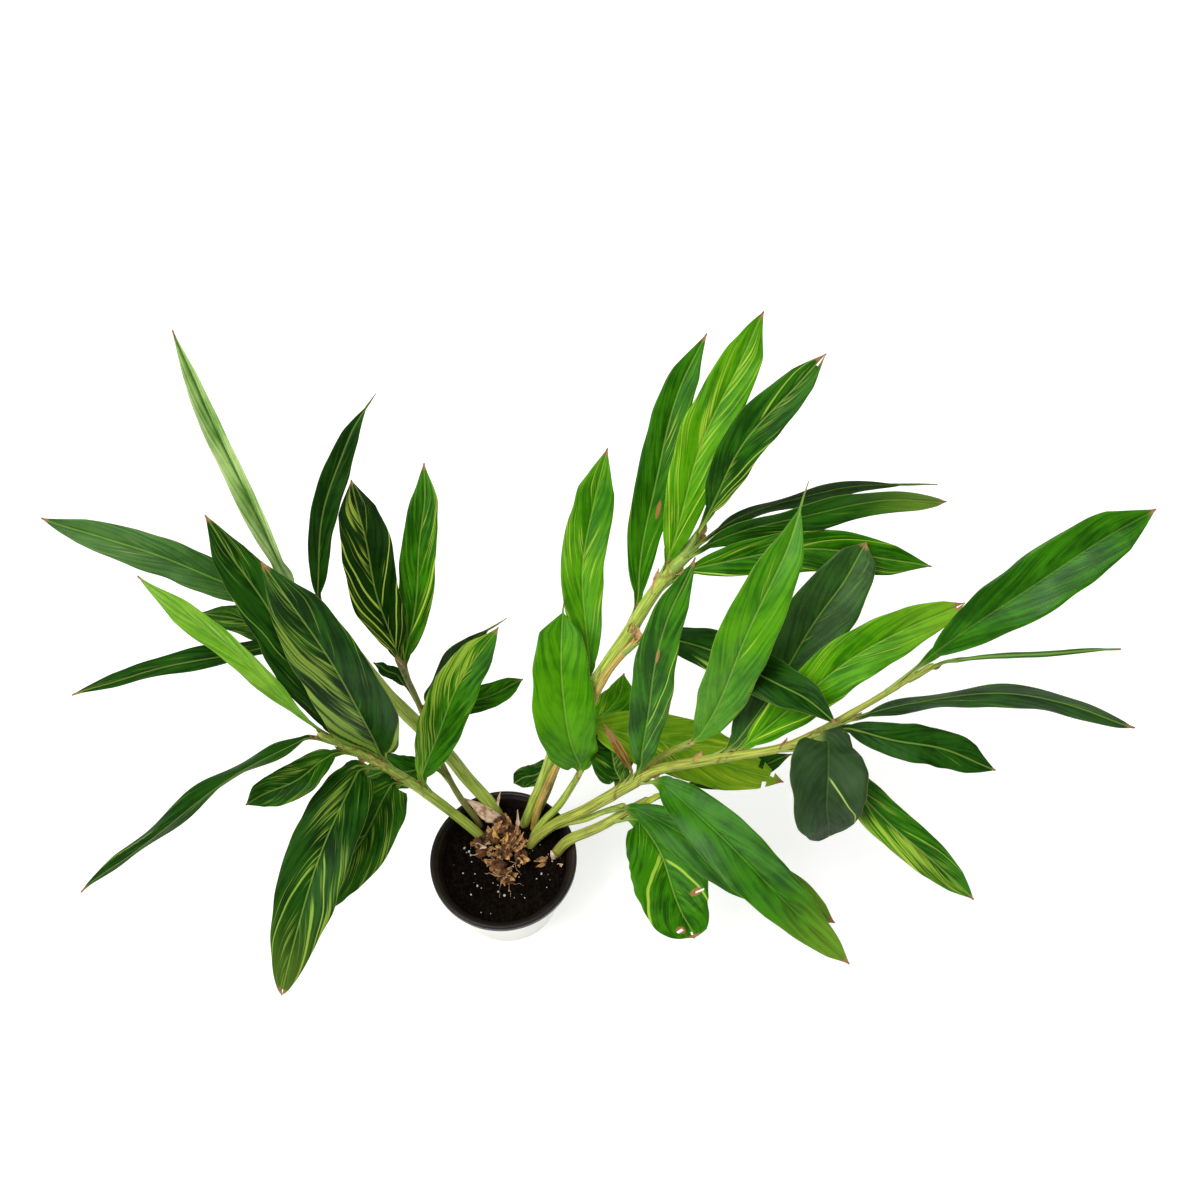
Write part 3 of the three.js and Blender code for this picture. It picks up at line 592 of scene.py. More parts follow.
# Leaves that stand beside the numbered ones: a dry strip and a leaf that is still small.
strayLeaves = {
    "dried_strip": grow(0.37, (0.106, 0.064, 0.272), 0.009, "dried", (0, 0.3), arch=0.004, bend=0, fold=0,
        wave=0.001, thick=0.0015, brown=0.3, grows="right_cane", standsFor=["dried_strip"],
        bands=[("right", 0.3, 0.4, 0.8, 0.75)]),
    "small_leaf": grow(0.8, (-0.123, 0.139, 0.27), 0.014, "deep", (0, 0), arch=0.003, wave=0.001,
        stalk=0.001, grows="back_left_cane", standsFor=[]),
}
blade = {
    "rows": 78, "stalkRows": 16,
    "across": (0, 0.03, 0.07, 0.13, 0.22, 0.33, 0.46, 0.6, 0.74, 0.87, 1),
    "sheath": 0.026,  # how far down the cane the leaf's own sheath is seen
    "wrap": 0.6 * math.pi,  # how far round the cane the sheath reaches on each side
    "tuck": 0.0001, "gap": 0.0003, "join": 0.03,
    "edge": 0.00042, "sheathThick": 0.0011,
    "rib": 0.0016, "ribWidth": 0.0013, "groove": 0.0005, "grooveWidth": 0.0011,
    "pleat": 0.00028, "pleatEvery": 0.008,
    # The crease tones are painted shade beside the midrib.
    "creaseEdge": (0.0034, 0.0012), "midribEdge": (0.0011, 0.0005),  # where their tones fade out and are full
}
leansTo = np.array((0, -0.5, 0.87))  # towards the light, where the leaves turn their upper side
veinSlope = (0.26, 0.15)  # how far a side vein runs ahead of where it leaves the midrib


def ribLine(leaf, cane):
    start, along, out = outOfCane(cane, leaf)
    if leaf["at"] < 1:
        start = start + out * (caneRadius(cane, leaf["at"]) + blade["gap"] + leaf["stalkRadius"])
    else:
        start = start + along * (blade["gap"] + leaf["stalkRadius"])
    tip = np.array(leaf["tip"])
    chord = tip - start
    way = unit(chord)
    face = unit(leansTo - way * leansTo.dot(way))
    side = np.cross(way, face)
    bend = (face * leaf["arch"] + side * leaf["sway"]) * 4 / 3
    near = start + chord / 3 + bend
    far = start + chord * 2 / 3 + bend + side * leaf["hook"] * 4 / 3
    t = np.linspace(0, 1, 200)[:, None]
    path = (1 - t) ** 3 * start + 3 * (1 - t) ** 2 * t * near + 3 * (1 - t) * t**2 * far + t**3 * tip
    phase = sum(leaf["tip"]) * 40
    path = path + side * leaf["bend"] * np.sin(7.5 * t + phase) * np.sin(math.pi * t)
    path = path + side * leaf["bend"] * 1.6 * math.sin(phase * 7) * smooth(t, 0.78, 1)
    return measured(path), np.linalg.norm(chord)


def halfWidth(leaf, share, stalkShare, length):
    tail = max(leaf["tail"], 0.0005) / length
    s = np.clip((share - stalkShare) / (1 - stalkShare - tail), 1e-6, 1)
    m = leaf["widest"]
    rise = (s / m) ** (m * leaf["full"] * 0.85)
    fall = np.maximum((1 - s) / (1 - m), 0) ** ((1 - m) * leaf["full"] * 0.7)
    pointed = (1 - s) * leaf["point"] * leaf["width"]
    least = np.where(s < m, leaf["stalkRadius"], 0.0003 + 0.0006 * (1 - smooth(share, 1 - tail, 1)))
    half = np.maximum(np.minimum(leaf["width"] / 2 * rise * fall, pointed), least)
    return np.where(share <= stalkShare, leaf["stalkRadius"], half)


# A curve from a to b that leaves a along wayA and comes to b along wayB.
def bentPath(a, b, wayA, wayB, t):
    reach = np.linalg.norm(b - a)
    ta, tb = wayA * reach * max(0.25, float(wayA @ wayB)), wayB * reach * 0.8
    path = (2 * t**3 - 3 * t**2 + 1) * a + (t**3 - 2 * t**2 + t) * ta
    return path + (3 * t**2 - 2 * t**3) * b + (t**3 - t**2) * tb


# The stalk leaves the cane in the cane's own direction and bends over into the blade.
def leafRows(leaf, cane):
    line = cane["line"]
    rib, length = ribLine(leaf, cane)
    stalkShare = leaf["stalk"] / length
    join = stalkShare + blade["join"]
    low = max(leaf["at"] - min(blade["sheath"], leaf["at"] * line["length"] / 3) / line["length"], 0)
    lowWay = wayAt(line, low)
    out = outOfCane(cane, leaf)[2]
    lowOut = unit(out - lowWay * out.dot(lowWay))
    radius = float(caneRadius(cane, low))
    foot = placeAt(line, low) + lowOut * (radius - blade["tuck"])
    t = np.linspace(0, 1, blade["stalkRows"], endpoint=False)
    stalk = bentPath(foot, placeAt(rib, join), lowWay, wayAt(rib, join), t[:, None])
    k = np.linspace(0, 1, blade["rows"])
    shares = join + (1 - join) * (0.5 * k + 0.25 * (1 - np.cos(math.pi * k)))
    centres = np.concatenate([stalk, placeAt(rib, shares)])
    ways = unit(np.gradient(centres, axis=0))
    turn = smooth(t, 0, 1)
    faces = unit(leansTo - ways * (ways @ leansTo)[:, None])
    roll = np.radians(leaf["roll"]) * np.r_[turn, np.ones(len(shares))][:, None]
    faces = faces * np.cos(roll) + np.cross(ways, faces) * np.sin(roll)
    inward = -lowOut * (1 - turn[:, None]) + faces[: len(t)] * turn[:, None]
    faces[: len(t)] = unit(inward - ways[: len(t)] * (inward * ways[: len(t)]).sum(1, keepdims=True))
    stalkHalf = leaf["stalkRadius"] * 1.6
    closing, opening = smooth(t, 0, 0.55), smooth(t, 0.5, 1)
    half = radius * blade["wrap"] * (1 - closing) + stalkHalf * closing
    half = half * (1 - opening) + float(halfWidth(leaf, join, stalkShare, length)) * opening
    half = np.r_[half, halfWidth(leaf, shares, stalkShare, length)]
    curl = blade["wrap"] * np.clip(stalkHalf / half, 0, 1) ** 1.4 + 0.02
    unrolled = smooth(t, 0.4, 0.7)
    curl[: len(t)] = blade["wrap"] * (1 - unrolled) + curl[: len(t)] * unrolled
    opened = np.r_[0 * t, smooth(shares, stalkShare, stalkShare + 0.15)]
    shares = np.r_[0.05 * (t - 1), shares]
    return centres, ways, faces, length, *(k[:, None] for k in (half, curl, opened, shares))


def tornCells(leaf, u, share):
    cellU = (u[:, 1:] + u[:, :-1]) / 2
    cellV = (share[1:] + share[:-1]) / 2
    torn = np.zeros((len(cellV), cellU.shape[1]), bool)
    for lowU, highU, lowV, highV in leaf["tears"]:
        torn |= (cellU > lowU) & (cellU < highU) & (cellV > lowV) & (cellV < highV)
    return torn


# Each row is rolled round the cane at the leaf's foot, and then folded, pleated and waved.
def leafMesh(name, leaf, cane, seed):
    centres, ways, faces, length, half, curl, opened, share = leafRows(leaf, cane)
    u = np.array([-k for k in blade["across"][:0:-1]] + list(blade["across"]))[None, :]
    size = np.abs(u)
    ragged = [noise.noise(Vector((k * 9, seed * 3.1, s))) for s in (0, 5) for k in share[:, 0]]
    ragged = np.array(ragged).reshape(2, -1, 1)
    half = half * (1 + 0.1 * np.where(u < 0, *ragged) * opened)
    fold = math.radians(leaf["fold"]) * opened
    across = half * np.sin(curl * u) / curl * (1 - opened) + half * u * np.cos(fold) * opened
    ripple = np.sin((share * leaf["waves"] + np.where(u < 0, 0.35, 0)) * 2 * math.pi)
    vein = share - veinSlope[0] * size - veinSlope[1] * size**2
    pleats = np.sin(vein * length / blade["pleatEvery"] * 2 * math.pi + seed)
    lift = half * (size * 1.35 - 0.35 * size**2) * np.sin(fold)
    lift = lift + leaf["wave"] * size**2 * ripple * (1 - share**2)
    lift = lift + pleats * blade["pleat"] * size * (1 - size**2) * 2.6
    lift = lift - blade["groove"] * np.exp(-((half * u / blade["grooveWidth"]) ** 2))
    lift = half * (1 - np.cos(curl * u)) / curl * (1 - opened) + lift * opened
    side = np.cross(ways, faces)[:, None, :]
    face = faces[:, None, :]
    middle = centres[:, None, :] + side * across[..., None] + face * lift[..., None]
    lean = curl * u * (1 - opened) + fold * np.tanh(u * 9) * opened
    normal = face * np.cos(lean)[..., None] - side * np.sin(lean)[..., None]
    rib = blade["rib"] * (1 - 0.75 * np.clip(share, 0, 1)) * (0.35 + 0.65 * opened)
    rib = rib * np.exp(-((half * u / blade["ribWidth"]) ** 2))
    thin = np.minimum(leaf["thick"], blade["edge"] + leaf["thick"] * 0.3 * (1 - size))
    thick = blade["sheathThick"] * (1 - opened) + np.maximum(thin, leaf["thick"] - 0.0009) * opened
    thick = thick * (1 - 0.3 * size)
    start = smooth(np.arange(len(share)), -1, 5)[:, None]
    top = middle + normal * (thick * 0.5)[..., None]
    under = middle - normal * ((thick * 0.5 + rib) * start)[..., None]
    grown = np.stack(np.broadcast_arrays(u, share), -1).reshape(-1, 2)
    torn = tornCells(leaf, u, share)
    mesh = sheetsMesh("blade." + name, [(top, under)], np.concatenate([grown, grown]), torn)
    lowest = [min(face.vertices) for face in mesh.polygons]
    markMesh(mesh, "underside", "FACE", [first >= top.size // 3 for first in lowest])
    markMesh(mesh, "fromRib", "POINT", np.tile((half * size).ravel(), 2))
    return mesh


# Each green: a shaded and a lit tone, the tone of its stripes, and a slot name.
greens = {
    "night": ("051d01", "143803", "a9c048", "dark_leaf"),
    "deep": ("082502", "1f4d0a", "8fae42", "dark_leaf"),
    "dark": ("0f3503", "2a620c", "98b442", "dark_leaf"),
    "satin": ("1c3d0b", "34601c", "8fae42", "dark_leaf"),
    "grey": ("1a3210", "2f4c24", "9cb458", "dark_leaf"),
    "dull": ("28521a", "4a7432", "a6bc62", "dark_leaf"),
    "mid": ("124200", "387a06", "a4c440", "fresh_leaf"),
    "fresh": ("246400", "549808", "a8c83c", "fresh_leaf"),
    "lime": ("4a8408", "7fa81c", "bcc83c", "light_leaf"),
    "young": ("4c8c0c", "82b430", "c4da78", "light_leaf"),
    "pale": ("4e8a1c", "c4de92", "dcecb4", "light_leaf"),
    "dried": ("4a2c12", "a06c34", "c09858", "dried_leaf"),
}
leafSkin = {
    "neck": "9fb552", "midrib": "9cc052", "margin": "a9b45c",
    "underside": "6f8f4c", "tipBrown": "99744a", "spot": "9a6a3c",
}
stripeFinish = {"wide": 6, "narrow": 52, "softness": 0.15, "fan": 1.5, "strength": 0.8}


# Thin streaks along the side veins, gathered where a broader noise lets them through.
def stripeMask(vein, reach, half, amount, seed):
    wide = mottle(triple(times(vein, stripeFinish["wide"]), reach, seed), 1, 1)
    narrow = mottle(triple(times(vein, stripeFinish["narrow"]), reach, seed + 9), 1, 1.5)
    mixed = timesPlus(wide, 0.42, times(narrow, 0.58))
    edge = 0.61 - 0.19 * amount
    streak = fade(mixed, edge, edge + stripeFinish["softness"], 0, stripeFinish["strength"])
    return times(streak, half)


def bandMask(vein, size, half, start, width, strength, inner):
    away = calc("ABSOLUTE", calc("SUBTRACT", vein, start))
    band = times(fade(away, width, width * 0.45), half)
    return times(band, fade(size, inner - 0.06, inner + 0.12, 0, strength))


def spotMask(across, along, u, v, wide, long):
    sideways = calc("DIVIDE", calc("SUBTRACT", across, u), wide)
    lengthways = calc("DIVIDE", calc("SUBTRACT", along, v), long)
    away = addNode(across.id_data, "VectorMath", {0: triple(sideways, lengthways, 0)}, operation="LENGTH")
    return fade(away.outputs[1], 1.1, 0.7)


def leafMaterial(name, leaf, seed):
    material, tree = startMaterial("leaf " + name)
    shaded, lit, stripe = map(tint, greens[leaf["green"]][:3])
    across, along = growthPlace(tree)
    place = objectPlace(tree)
    size = calc("ABSOLUTE", across)
    right = calc("GREATER_THAN", across)
    halves = {"left": calc("SUBTRACT", 1, right), "right": right}
    slope = timesPlus(size, veinSlope[1], veinSlope[0])
    vein = timesPlus(times(size, slope), -1, along)
    vein = timesPlus(mottle(place, 22), 0.03, vein)
    # Painted light and shade: noise running along the veins lays the green's lit and shaded tones in patches,
    # and fine painted lit lines follow the side veins; the leaf's grain sets how strongly both show.
    flow = mottle(triple(times(vein, 16), times(size, 1.8), seed * 2.3), 1, 3, 0.6)
    clouds = timesPlus(mottle(place, 24, 3, 0.6), 0.45, times(flow, 0.6))
    spread = 0.11 + 0.1 * (1 - leaf["grain"])
    colour = blend(fade(clouds, 0.52 - spread, 0.52 + spread), shaded, lit)
    fine = calc("SINE", times(vein, 260))
    colour = blend(fade(fine, -1, 1, 0, 0.2 * leaf["grain"]), colour, lit)
    reach = times(size, stripeFinish["fan"])
    for side, amount, offset in zip(halves, leaf["stripes"], (0, 40)):
        if amount > 0:
            mask = stripeMask(vein, reach, halves[side], amount, seed * 1.7 + offset)
            colour = blend(mask, colour, stripe)
    for side, *band in leaf["bands"]:
        colour = blend(bandMask(vein, size, halves[side], *band), colour, stripe)
    colour = blend(fade(along, 0.6, 1, 0, leaf["paleTip"]), colour, stripe)
    away = marked(tree, "fromRib")
    # Painted shade: the leaf's shaded tone darkens the blade along the midrib crease.
    colour = blend(fade(away, *blade["creaseEdge"], 0, leaf["crease"]), colour, shaded)
    for spot in leaf["spots"]:
        colour = blend(spotMask(across, along, *spot), colour, tint(leafSkin["spot"]))
    below = marked(tree, "underside")
    burnt = timesPlus(mottle(place, 150), 0.05, along)
    end = 1.025 - leaf["brown"]
    layers = {
        "midrib": fade(away, *blade["midribEdge"], 0, leaf["rib"]),
        "neck": fade(along, -0.008, -0.034),
        "margin": fade(size, 0.975, 1, 0, 0.35),
        "tipBrown": fade(burnt, end - 0.012, end + 0.01),
        "underside": times(below, 0.45),
    }
    for layer, mask in layers.items():
        colour = blend(mask, colour, tint(leafSkin[layer]))
    roughness = fade(mottle(place, 60), 0.2, 0.8, leaf["gloss"] - 0.07, leaf["gloss"] + 0.1)
    roughness = timesPlus(below, 0.25, roughness)
    height = timesPlus(mottle(place, 700), 0.3, fine)
    fillShader(tree, colour, roughness, height, 0.0002, 0.2, leaf["shine"])
    return material


def addLeaf(name, leaf, cane, seed, *nodes):
    slot = greens[leaf["green"]][3]
    addPiece(leafMesh(name, leaf, cane, seed), leafMaterial(name, leaf, seed), slot, *nodes)


def addPlant():
    seed = 0
    paper = barkMaterial("dry papery sheath", "collars", 0.7)
    finishes = {name: caneMaterial(name, look) for name, look in caneFinishes.items()}
    for caneName, cane in canes.items():
        finish = cane["finish"]
        node = cane.get("grownFrom", caneName)
        addPiece(caneMesh(caneName, cane), finishes[finish], caneFinishes[finish]["slot"], node)
        for i, leaf in enumerate(leaves[caneName]):
            seed += 1
            name = cane["leafName"] + (f"_{i + 1}" if len(leaves[caneName]) > 1 else "")
            addLeaf(name, leaf, cane, seed, name)
            addPiece(collarMesh(name, leaf, cane, seed), paper, "rhizome")
    for name, leaf in strayLeaves.items():
        seed += 1
        addLeaf(name, leaf, canes[leaf["grows"]], seed, *leaf["standsFor"])
    print("canes and", seed, "leaves grown")


# Pots
pot = {
    "rim": 0.0775, "height": 0.1, "lip": 0.009, "lipWidth": 0.0055, "bead": 0.0024,
    "wall": 0.0016, "foot": 0.05, "floor": 0.004, "soilTop": 0.085,
    "outerFoot": 0.056, "outerWall": 0.0022, "footEdge": 0.0015, "outerRim": 0.0011,
    "brown": ("120b08", "271c15"), "glaze": ("e0e1db", "e8e8e3"),
}


def nurseryRadius(z):
    low, high = pot["floor"], pot["height"]
    return pot["foot"] + (pot["rim"] - pot["lipWidth"] - 0.0015 - pot["foot"]) * (z - low) / (high - low)


def arcPoints(centre, radius, start, end, steps=7):
    angles = np.radians(np.linspace(start, end, steps))
    return [(centre[0] + radius * math.cos(a), centre[1] + radius * math.sin(a)) for a in angles]


def plasticMaterial(name, dark, pale, scuff, grain, roughness=0.4):
    material, tree = startMaterial(name)
    place = objectPlace(tree)
    colour = blend(fade(mottle(place, 25, 4, 0.6), 0.35, 0.7), tint(dark), tint(pale))
    rub = mottle(place, 240, 3, 0.7)
    gloss = fade(rub, 0.3, 0.75, roughness - 0.06, roughness + scuff)
    fillShader(tree, colour, gloss, rub, 0.0001, grain)
    return material


def addNurseryPot():
    rim, top, wall, low, bead = (pot[k] for k in ("rim", "height", "wall", "floor", "bead"))
    lipFoot = top - pot["lip"]
    inner = low + 0.002
    profile = [(0.0001, low), (nurseryRadius(low) - 0.002, low), (nurseryRadius(inner), inner)]
    profile += [(nurseryRadius(z), z) for z in (0.03, 0.06, lipFoot - 0.0008)]
    profile += [(rim - 0.0016, lipFoot - 0.0002), (rim - 0.0004, lipFoot + 0.0008), (rim, lipFoot + 0.002)]
    profile += arcPoints((rim - bead, top - bead), bead, 0, 90)
    profile += [(rim - 0.0042, top - 0.0002), (rim - 0.0052, top - 0.0012), (rim - 0.0058, top - 0.0032)]
    profile += [(rim - 0.0078, top - 0.0036), (rim - 0.0082, top - 0.0052)]
    profile += [(nurseryRadius(z) - wall, z) for z in (lipFoot, 0.06, 0.03, 0.008)]
    profile += [(nurseryRadius(inner) - wall - 0.002, inner), (0.0001, inner)]
    brown = plasticMaterial("brown pot plastic", *pot["brown"], 0.16, 0.12)
    addPiece(turnedMesh("pot.nursery", profile), brown, "nursery_pot", "nursery_pot")


def addOuterPot():
    foot, wall, edge, rim = (pot[k] for k in ("outerFoot", "outerWall", "footEdge", "outerRim"))
    mouth, upper = pot["rim"] - pot["lipWidth"] + 0.001, pot["height"] - pot["lip"] - 0.0003
    profile = [(0.0001, 0), (0.0378, 0), (0.039, 0.0012), (0.044, 0.0012), (0.0452, 0), (foot - edge, 0)]
    profile += arcPoints((foot - edge, edge), edge, -90, 0, 5)
    profile += [(foot + (mouth - foot) * k, edge + (upper - 0.0021) * k) for k in (0.25, 0.5, 0.75, 1)]
    profile += arcPoints((mouth - rim, upper - rim), rim, 0, 180)
    profile += [(foot - wall + (mouth - foot) * k, 0.0025 + (upper - 0.0036) * k) for k in (0.7, 0.4, 0)]
    profile += [(0.0001, 0.0025)]
    white = plasticMaterial("pale glazed pot", *pot["glaze"], 0.05, 0.02)
    addPiece(turnedMesh("pot.outer", profile), white, "outer_pot", "outer_pot")
    print("pots turned")


# Compost, with crumbs and white perlite on it; the specks are the larger bits of perlite at the rim.
compost = {
    "relief": 0.0016, "rings": 46, "sectors": 150, "grain": 0.0011, "gap": 0.0003,
    "crumbs": dict(count=1500, inset=0.002, least=0.0005, spread=0.0011, power=2),
    "perlite": dict(count=46, inset=0.004, least=0.0004, spread=0.0005, power=1),
    "soilTones": ("060402", "1c120a"), "perliteTones": ("b9b4aa", "f2f0ea"), "speckSize": 0.0013,
    "specks": [
        (-0.038, 0.012), (-0.036, 0.008), (-0.043, -0.012), (-0.027, -0.026), (-0.033, -0.036),
        (-0.005, -0.032), (0.002, -0.036), (0.04, -0.012), (-0.043, 0.016),
    ],
}


def soilHeight(x, y):
    reach = min(1, (nurseryRadius(pot["soilTop"]) - math.hypot(x, y)) / 0.012)
    x, y = x * 1000, y * 1000
    swell = math.sin(x / 9 + 1) * math.cos(y / 11) + 0.6 * math.sin((x + y) / 6)
    return pot["soilTop"] + compost["relief"] * reach * swell


def soilMaterial():
    material, tree = startMaterial("dark compost")
    place = objectPlace(tree)
    colour = blend(fade(mottle(place, 260, 4, 0.7), 0.4, 0.7), *map(tint, compost["soilTones"]))
    roughness = fade(mottle(place, 90), 0.3, 0.7, 0.8, 0.98)
    fillShader(tree, colour, roughness, mottle(place, 900, 3), 0.001, 0.8, 0.05)
    return material


def perliteMaterial():
    material, tree = startMaterial("white perlite")
    place = objectPlace(tree)
    colour = blend(mottle(place, 900), *map(tint, compost["perliteTones"]))
    fillShader(tree, colour, 0.85, mottle(place, 2000), 0.0003)
    return material


def soilMesh(edge):
    rings, sectors = compost["rings"], compost["sectors"]
    points = []
    for ring in range(rings + 1):
        radius = edge * (ring + 0.02) / (rings + 0.02)
        for angle in np.arange(sectors) / sectors * 2 * math.pi:
            x, y = radius * math.cos(angle), radius * math.sin(angle)
            spot = Vector((x, y, 0))
            grain = noise.noise(spot * 420) * 0.6 + noise.noise(spot * 900) * 0.4
            points.append((x, y, soilHeight(x, y) + grain * compost["grain"] * min(1, (rings - ring) / 2)))
    low = 0.0063
    bottom = nurseryRadius(low) - pot["wall"] - compost["gap"]
    points += [(bottom * math.cos(a), bottom * math.sin(a), low) for a in circle(sectors)]
    return buildMesh("soil.bed", points, tubeFaces(rings + 2, sectors))


# Places all over the soil, each with the size of the bit that lies there.
def looseSpots(rng, edge, count, inset, least, spread, power):
    spots = []
    for _ in range(count):
        angle = rng.random() * 2 * math.pi
        reach = (edge - inset) * math.sqrt(rng.random())
        size = least + spread * rng.random() ** power
        spots.append((reach * math.cos(angle), reach * math.sin(angle), size))
    return spots


# Small stones, crumbs and specks lying on the soil, in one mesh.
def scatteredMesh(name, spots, rng):
    work = bmesh.new()
    for x, y, size in spots:
        grown = bmesh.ops.create_icosphere(work, subdivisions=1, radius=1)["verts"]
        stretch = 0.7 + 0.6 * rng.random(3)
        turn = rng.random() * math.pi
        for v in grown:
            p = np.array(v.co) * stretch * (0.85 + 0.3 * rng.random()) * size
            q = turned(p[0], p[1], turn)
            v.co = (x + q[0], y + q[1], soilHeight(x, y) + p[2] + size * 0.25)
    return takeMesh(work, name)


def addSoil():
    edge = nurseryRadius(pot["soilTop"]) - pot["wall"] - compost["gap"]
    soil = soilMaterial()
    addPiece(soilMesh(edge), soil, "soil", "soil")
    rng = np.random.default_rng(5)
    crumbs = looseSpots(rng, edge, **compost["crumbs"])
    addPiece(scatteredMesh("soil.crumbs", crumbs, rng), soil, "soil")
    specks = [(*spot, compost["speckSize"]) for spot in compost["specks"]]
    specks += looseSpots(rng, edge, **compost["perlite"])
    addPiece(scatteredMesh("soil.perlite", specks, rng), perliteMaterial(), "soil")
    print("soil filled")


# Rootstock: each knob's middle, its half sizes and how far it is turned.
rootstock = {"looseScraps": 64, "roots": 26, "rings": 0.05, "lumps": 0.28, "smallLumps": 0.12}
knobs = [
    ((-0.026, 0.022, 0.088), (0.008, 0.007, 0.008), 20),
    ((-0.013, 0.026, 0.089), (0.008, 0.006, 0.008), -30),
    ((0, 0.036, 0.088), (0.012, 0.008, 0.008), 15),
    ((0.01, 0.022, 0.089), (0.01, 0.008, 0.009), -20),
    ((0, 0.012, 0.087), (0.01, 0.008, 0.007), 50),
    ((-0.006, -0.004, 0.087), (0.009, 0.007, 0.006), 10),
    ((0.002, -0.016, 0.086), (0.01, 0.008, 0.006), -35),
    ((0.018, 0.006, 0.087), (0.007, 0.008, 0.007), 0),
    ((-0.007, 0.047, 0.088), (0.01, 0.008, 0.008), -25),
    ((-0.024, 0.012, 0.086), (0.008, 0.006, 0.006), 40),
]


def knobsMesh():
    work = bmesh.new()
    for centre, size, turn in knobs:
        middle = Vector(centre)
        for v in bmesh.ops.create_icosphere(work, subdivisions=4, radius=1)["verts"]:
            p = v.co.copy()
            swell = 1 + rootstock["rings"] * math.sin(p.x * 14 + centre[1] * 300)
            swell += rootstock["lumps"] * noise.noise(p * 1.6 + middle * 90)
            swell += rootstock["smallLumps"] * noise.noise(p * 5 + middle * 50)
            p = Vector((p.x * size[0], p.y * size[1], p.z * size[2])) * swell
            v.co = middle + Vector((*turned(p.x, p.y, math.radians(turn)), p.z))
    return takeMesh(work, "rootstock.knobs")


# The dark and the pale tone of all that is dry: first the rootstock and the collars, then each kind of scale.
barkTones = {
    "knobs": ("170d07", "6b4526"), "roots": ("7a5230", "d8b488"), "collars": ("6a4526", "b98f5c"),
    "pink": ("ac8262", "e8ccb0"), "gold": ("8e6230", "ecc070"), "tan": ("4a2c16", "d2a06a"),
    "sheath": ("7a4e2c", "c49a6a"), "green": ("9cb02c", "d0d858"),
}
# Scraps on the rootstock: foot, tip, width, bow, and how far the edges roll in.
scraps = {
    "pink": [
        ((-0.006, 0.048, 0.094), (-0.047, 0.066, 0.106), 0.017, (0, -0.004, 0.012)),
        ((-0.012, 0.044, 0.094), (-0.036, 0.056, 0.098), 0.009, (0, -0.004, 0.006), 1),
        ((-0.01, 0.052, 0.09), (-0.005, 0.067, 0.118), 0.006, (-0.002, 0, 0.002), 1.2),
        ((0.013, 0.034, 0.09), (0.014, 0.047, 0.116), 0.005, (0.001, 0, 0.002), 1.2),
        ((-0.026, 0.02, 0.09), (-0.018, 0.011, 0.099), 0.011, (-0.006, -0.002, 0.006), 1.1),
        ((-0.018, 0.022, 0.09), (-0.02, 0.014, 0.101), 0.01, (0.002, -0.004, 0.004), 1.2),
        ((0.056, 0.004, 0.088), (0.05, 0.009, 0.097), 0.008, (-0.002, -0.003, 0.003), 1.2),
        ((0.058, -0.002, 0.087), (0.063, -0.005, 0.093), 0.007, (0, -0.002, 0.003), 1.2),
    ],
    "gold": [
        ((-0.006, 0.024, 0.09), (-0.011, 0.03, 0.106), 0.009, (-0.003, -0.003, 0), 1),
        ((-0.004, 0.022, 0.09), (0.003, 0.026, 0.104), 0.009, (0.003, -0.004, 0), 1),
        ((-0.006, 0.018, 0.09), (-0.004, 0.01, 0.101), 0.011, (0, -0.003, 0.002), 1),
        ((0.018, 0.004, 0.09), (0.028, -0.002, 0.095), 0.012, (0.001, -0.001, 0.004), 0.5),
        ((0.016, 0.002, 0.09), (0.021, -0.005, 0.096), 0.009, (0, 0, 0.003), 0.7),
        ((0.016, -0.003, 0.088), (0.017, -0.009, 0.094), 0.004, (0, 0, 0.002), 1.2),
    ],
    "tan": [
        ((-0.012, 0.036, 0.092), (-0.003, 0.042, 0.1), 0.008, (0, -0.003, 0.004), 0.8),
        ((-0.004, 0.038, 0.09), (0.004, 0.036, 0.104), 0.009, (0, -0.003, 0), 1),
        ((0.008, 0.014, 0.09), (0.021, 0.025, 0.108), 0.006, (0.001, -0.003, 0.002), 1.3),
        ((0.011, 0.011, 0.09), (0.024, 0.019, 0.103), 0.006, (0.001, -0.003, 0.002), 1.3),
        ((0.005, 0.016, 0.09), (0.016, 0.03, 0.106), 0.005, (0, -0.002, 0), 1.3),
        ((0.004, -0.018, 0.088), (-0.002, -0.028, 0.096), 0.009, (0, 0, 0.004)),
        ((0.004, -0.016, 0.088), (0.013, -0.024, 0.095), 0.01, (0, 0, 0.004)),
        ((-0.002, -0.012, 0.088), (-0.011, -0.016, 0.096), 0.009, (0, 0, 0.003)),
        ((0.046, 0.003, 0.087), (0.032, -0.001, 0.091), 0.009, (0, 0.002, 0.002), 0.6),
        ((0.044, -0.002, 0.087), (0.034, -0.007, 0.09), 0.006, (0, 0, 0.002), 0.6),
    ],
}
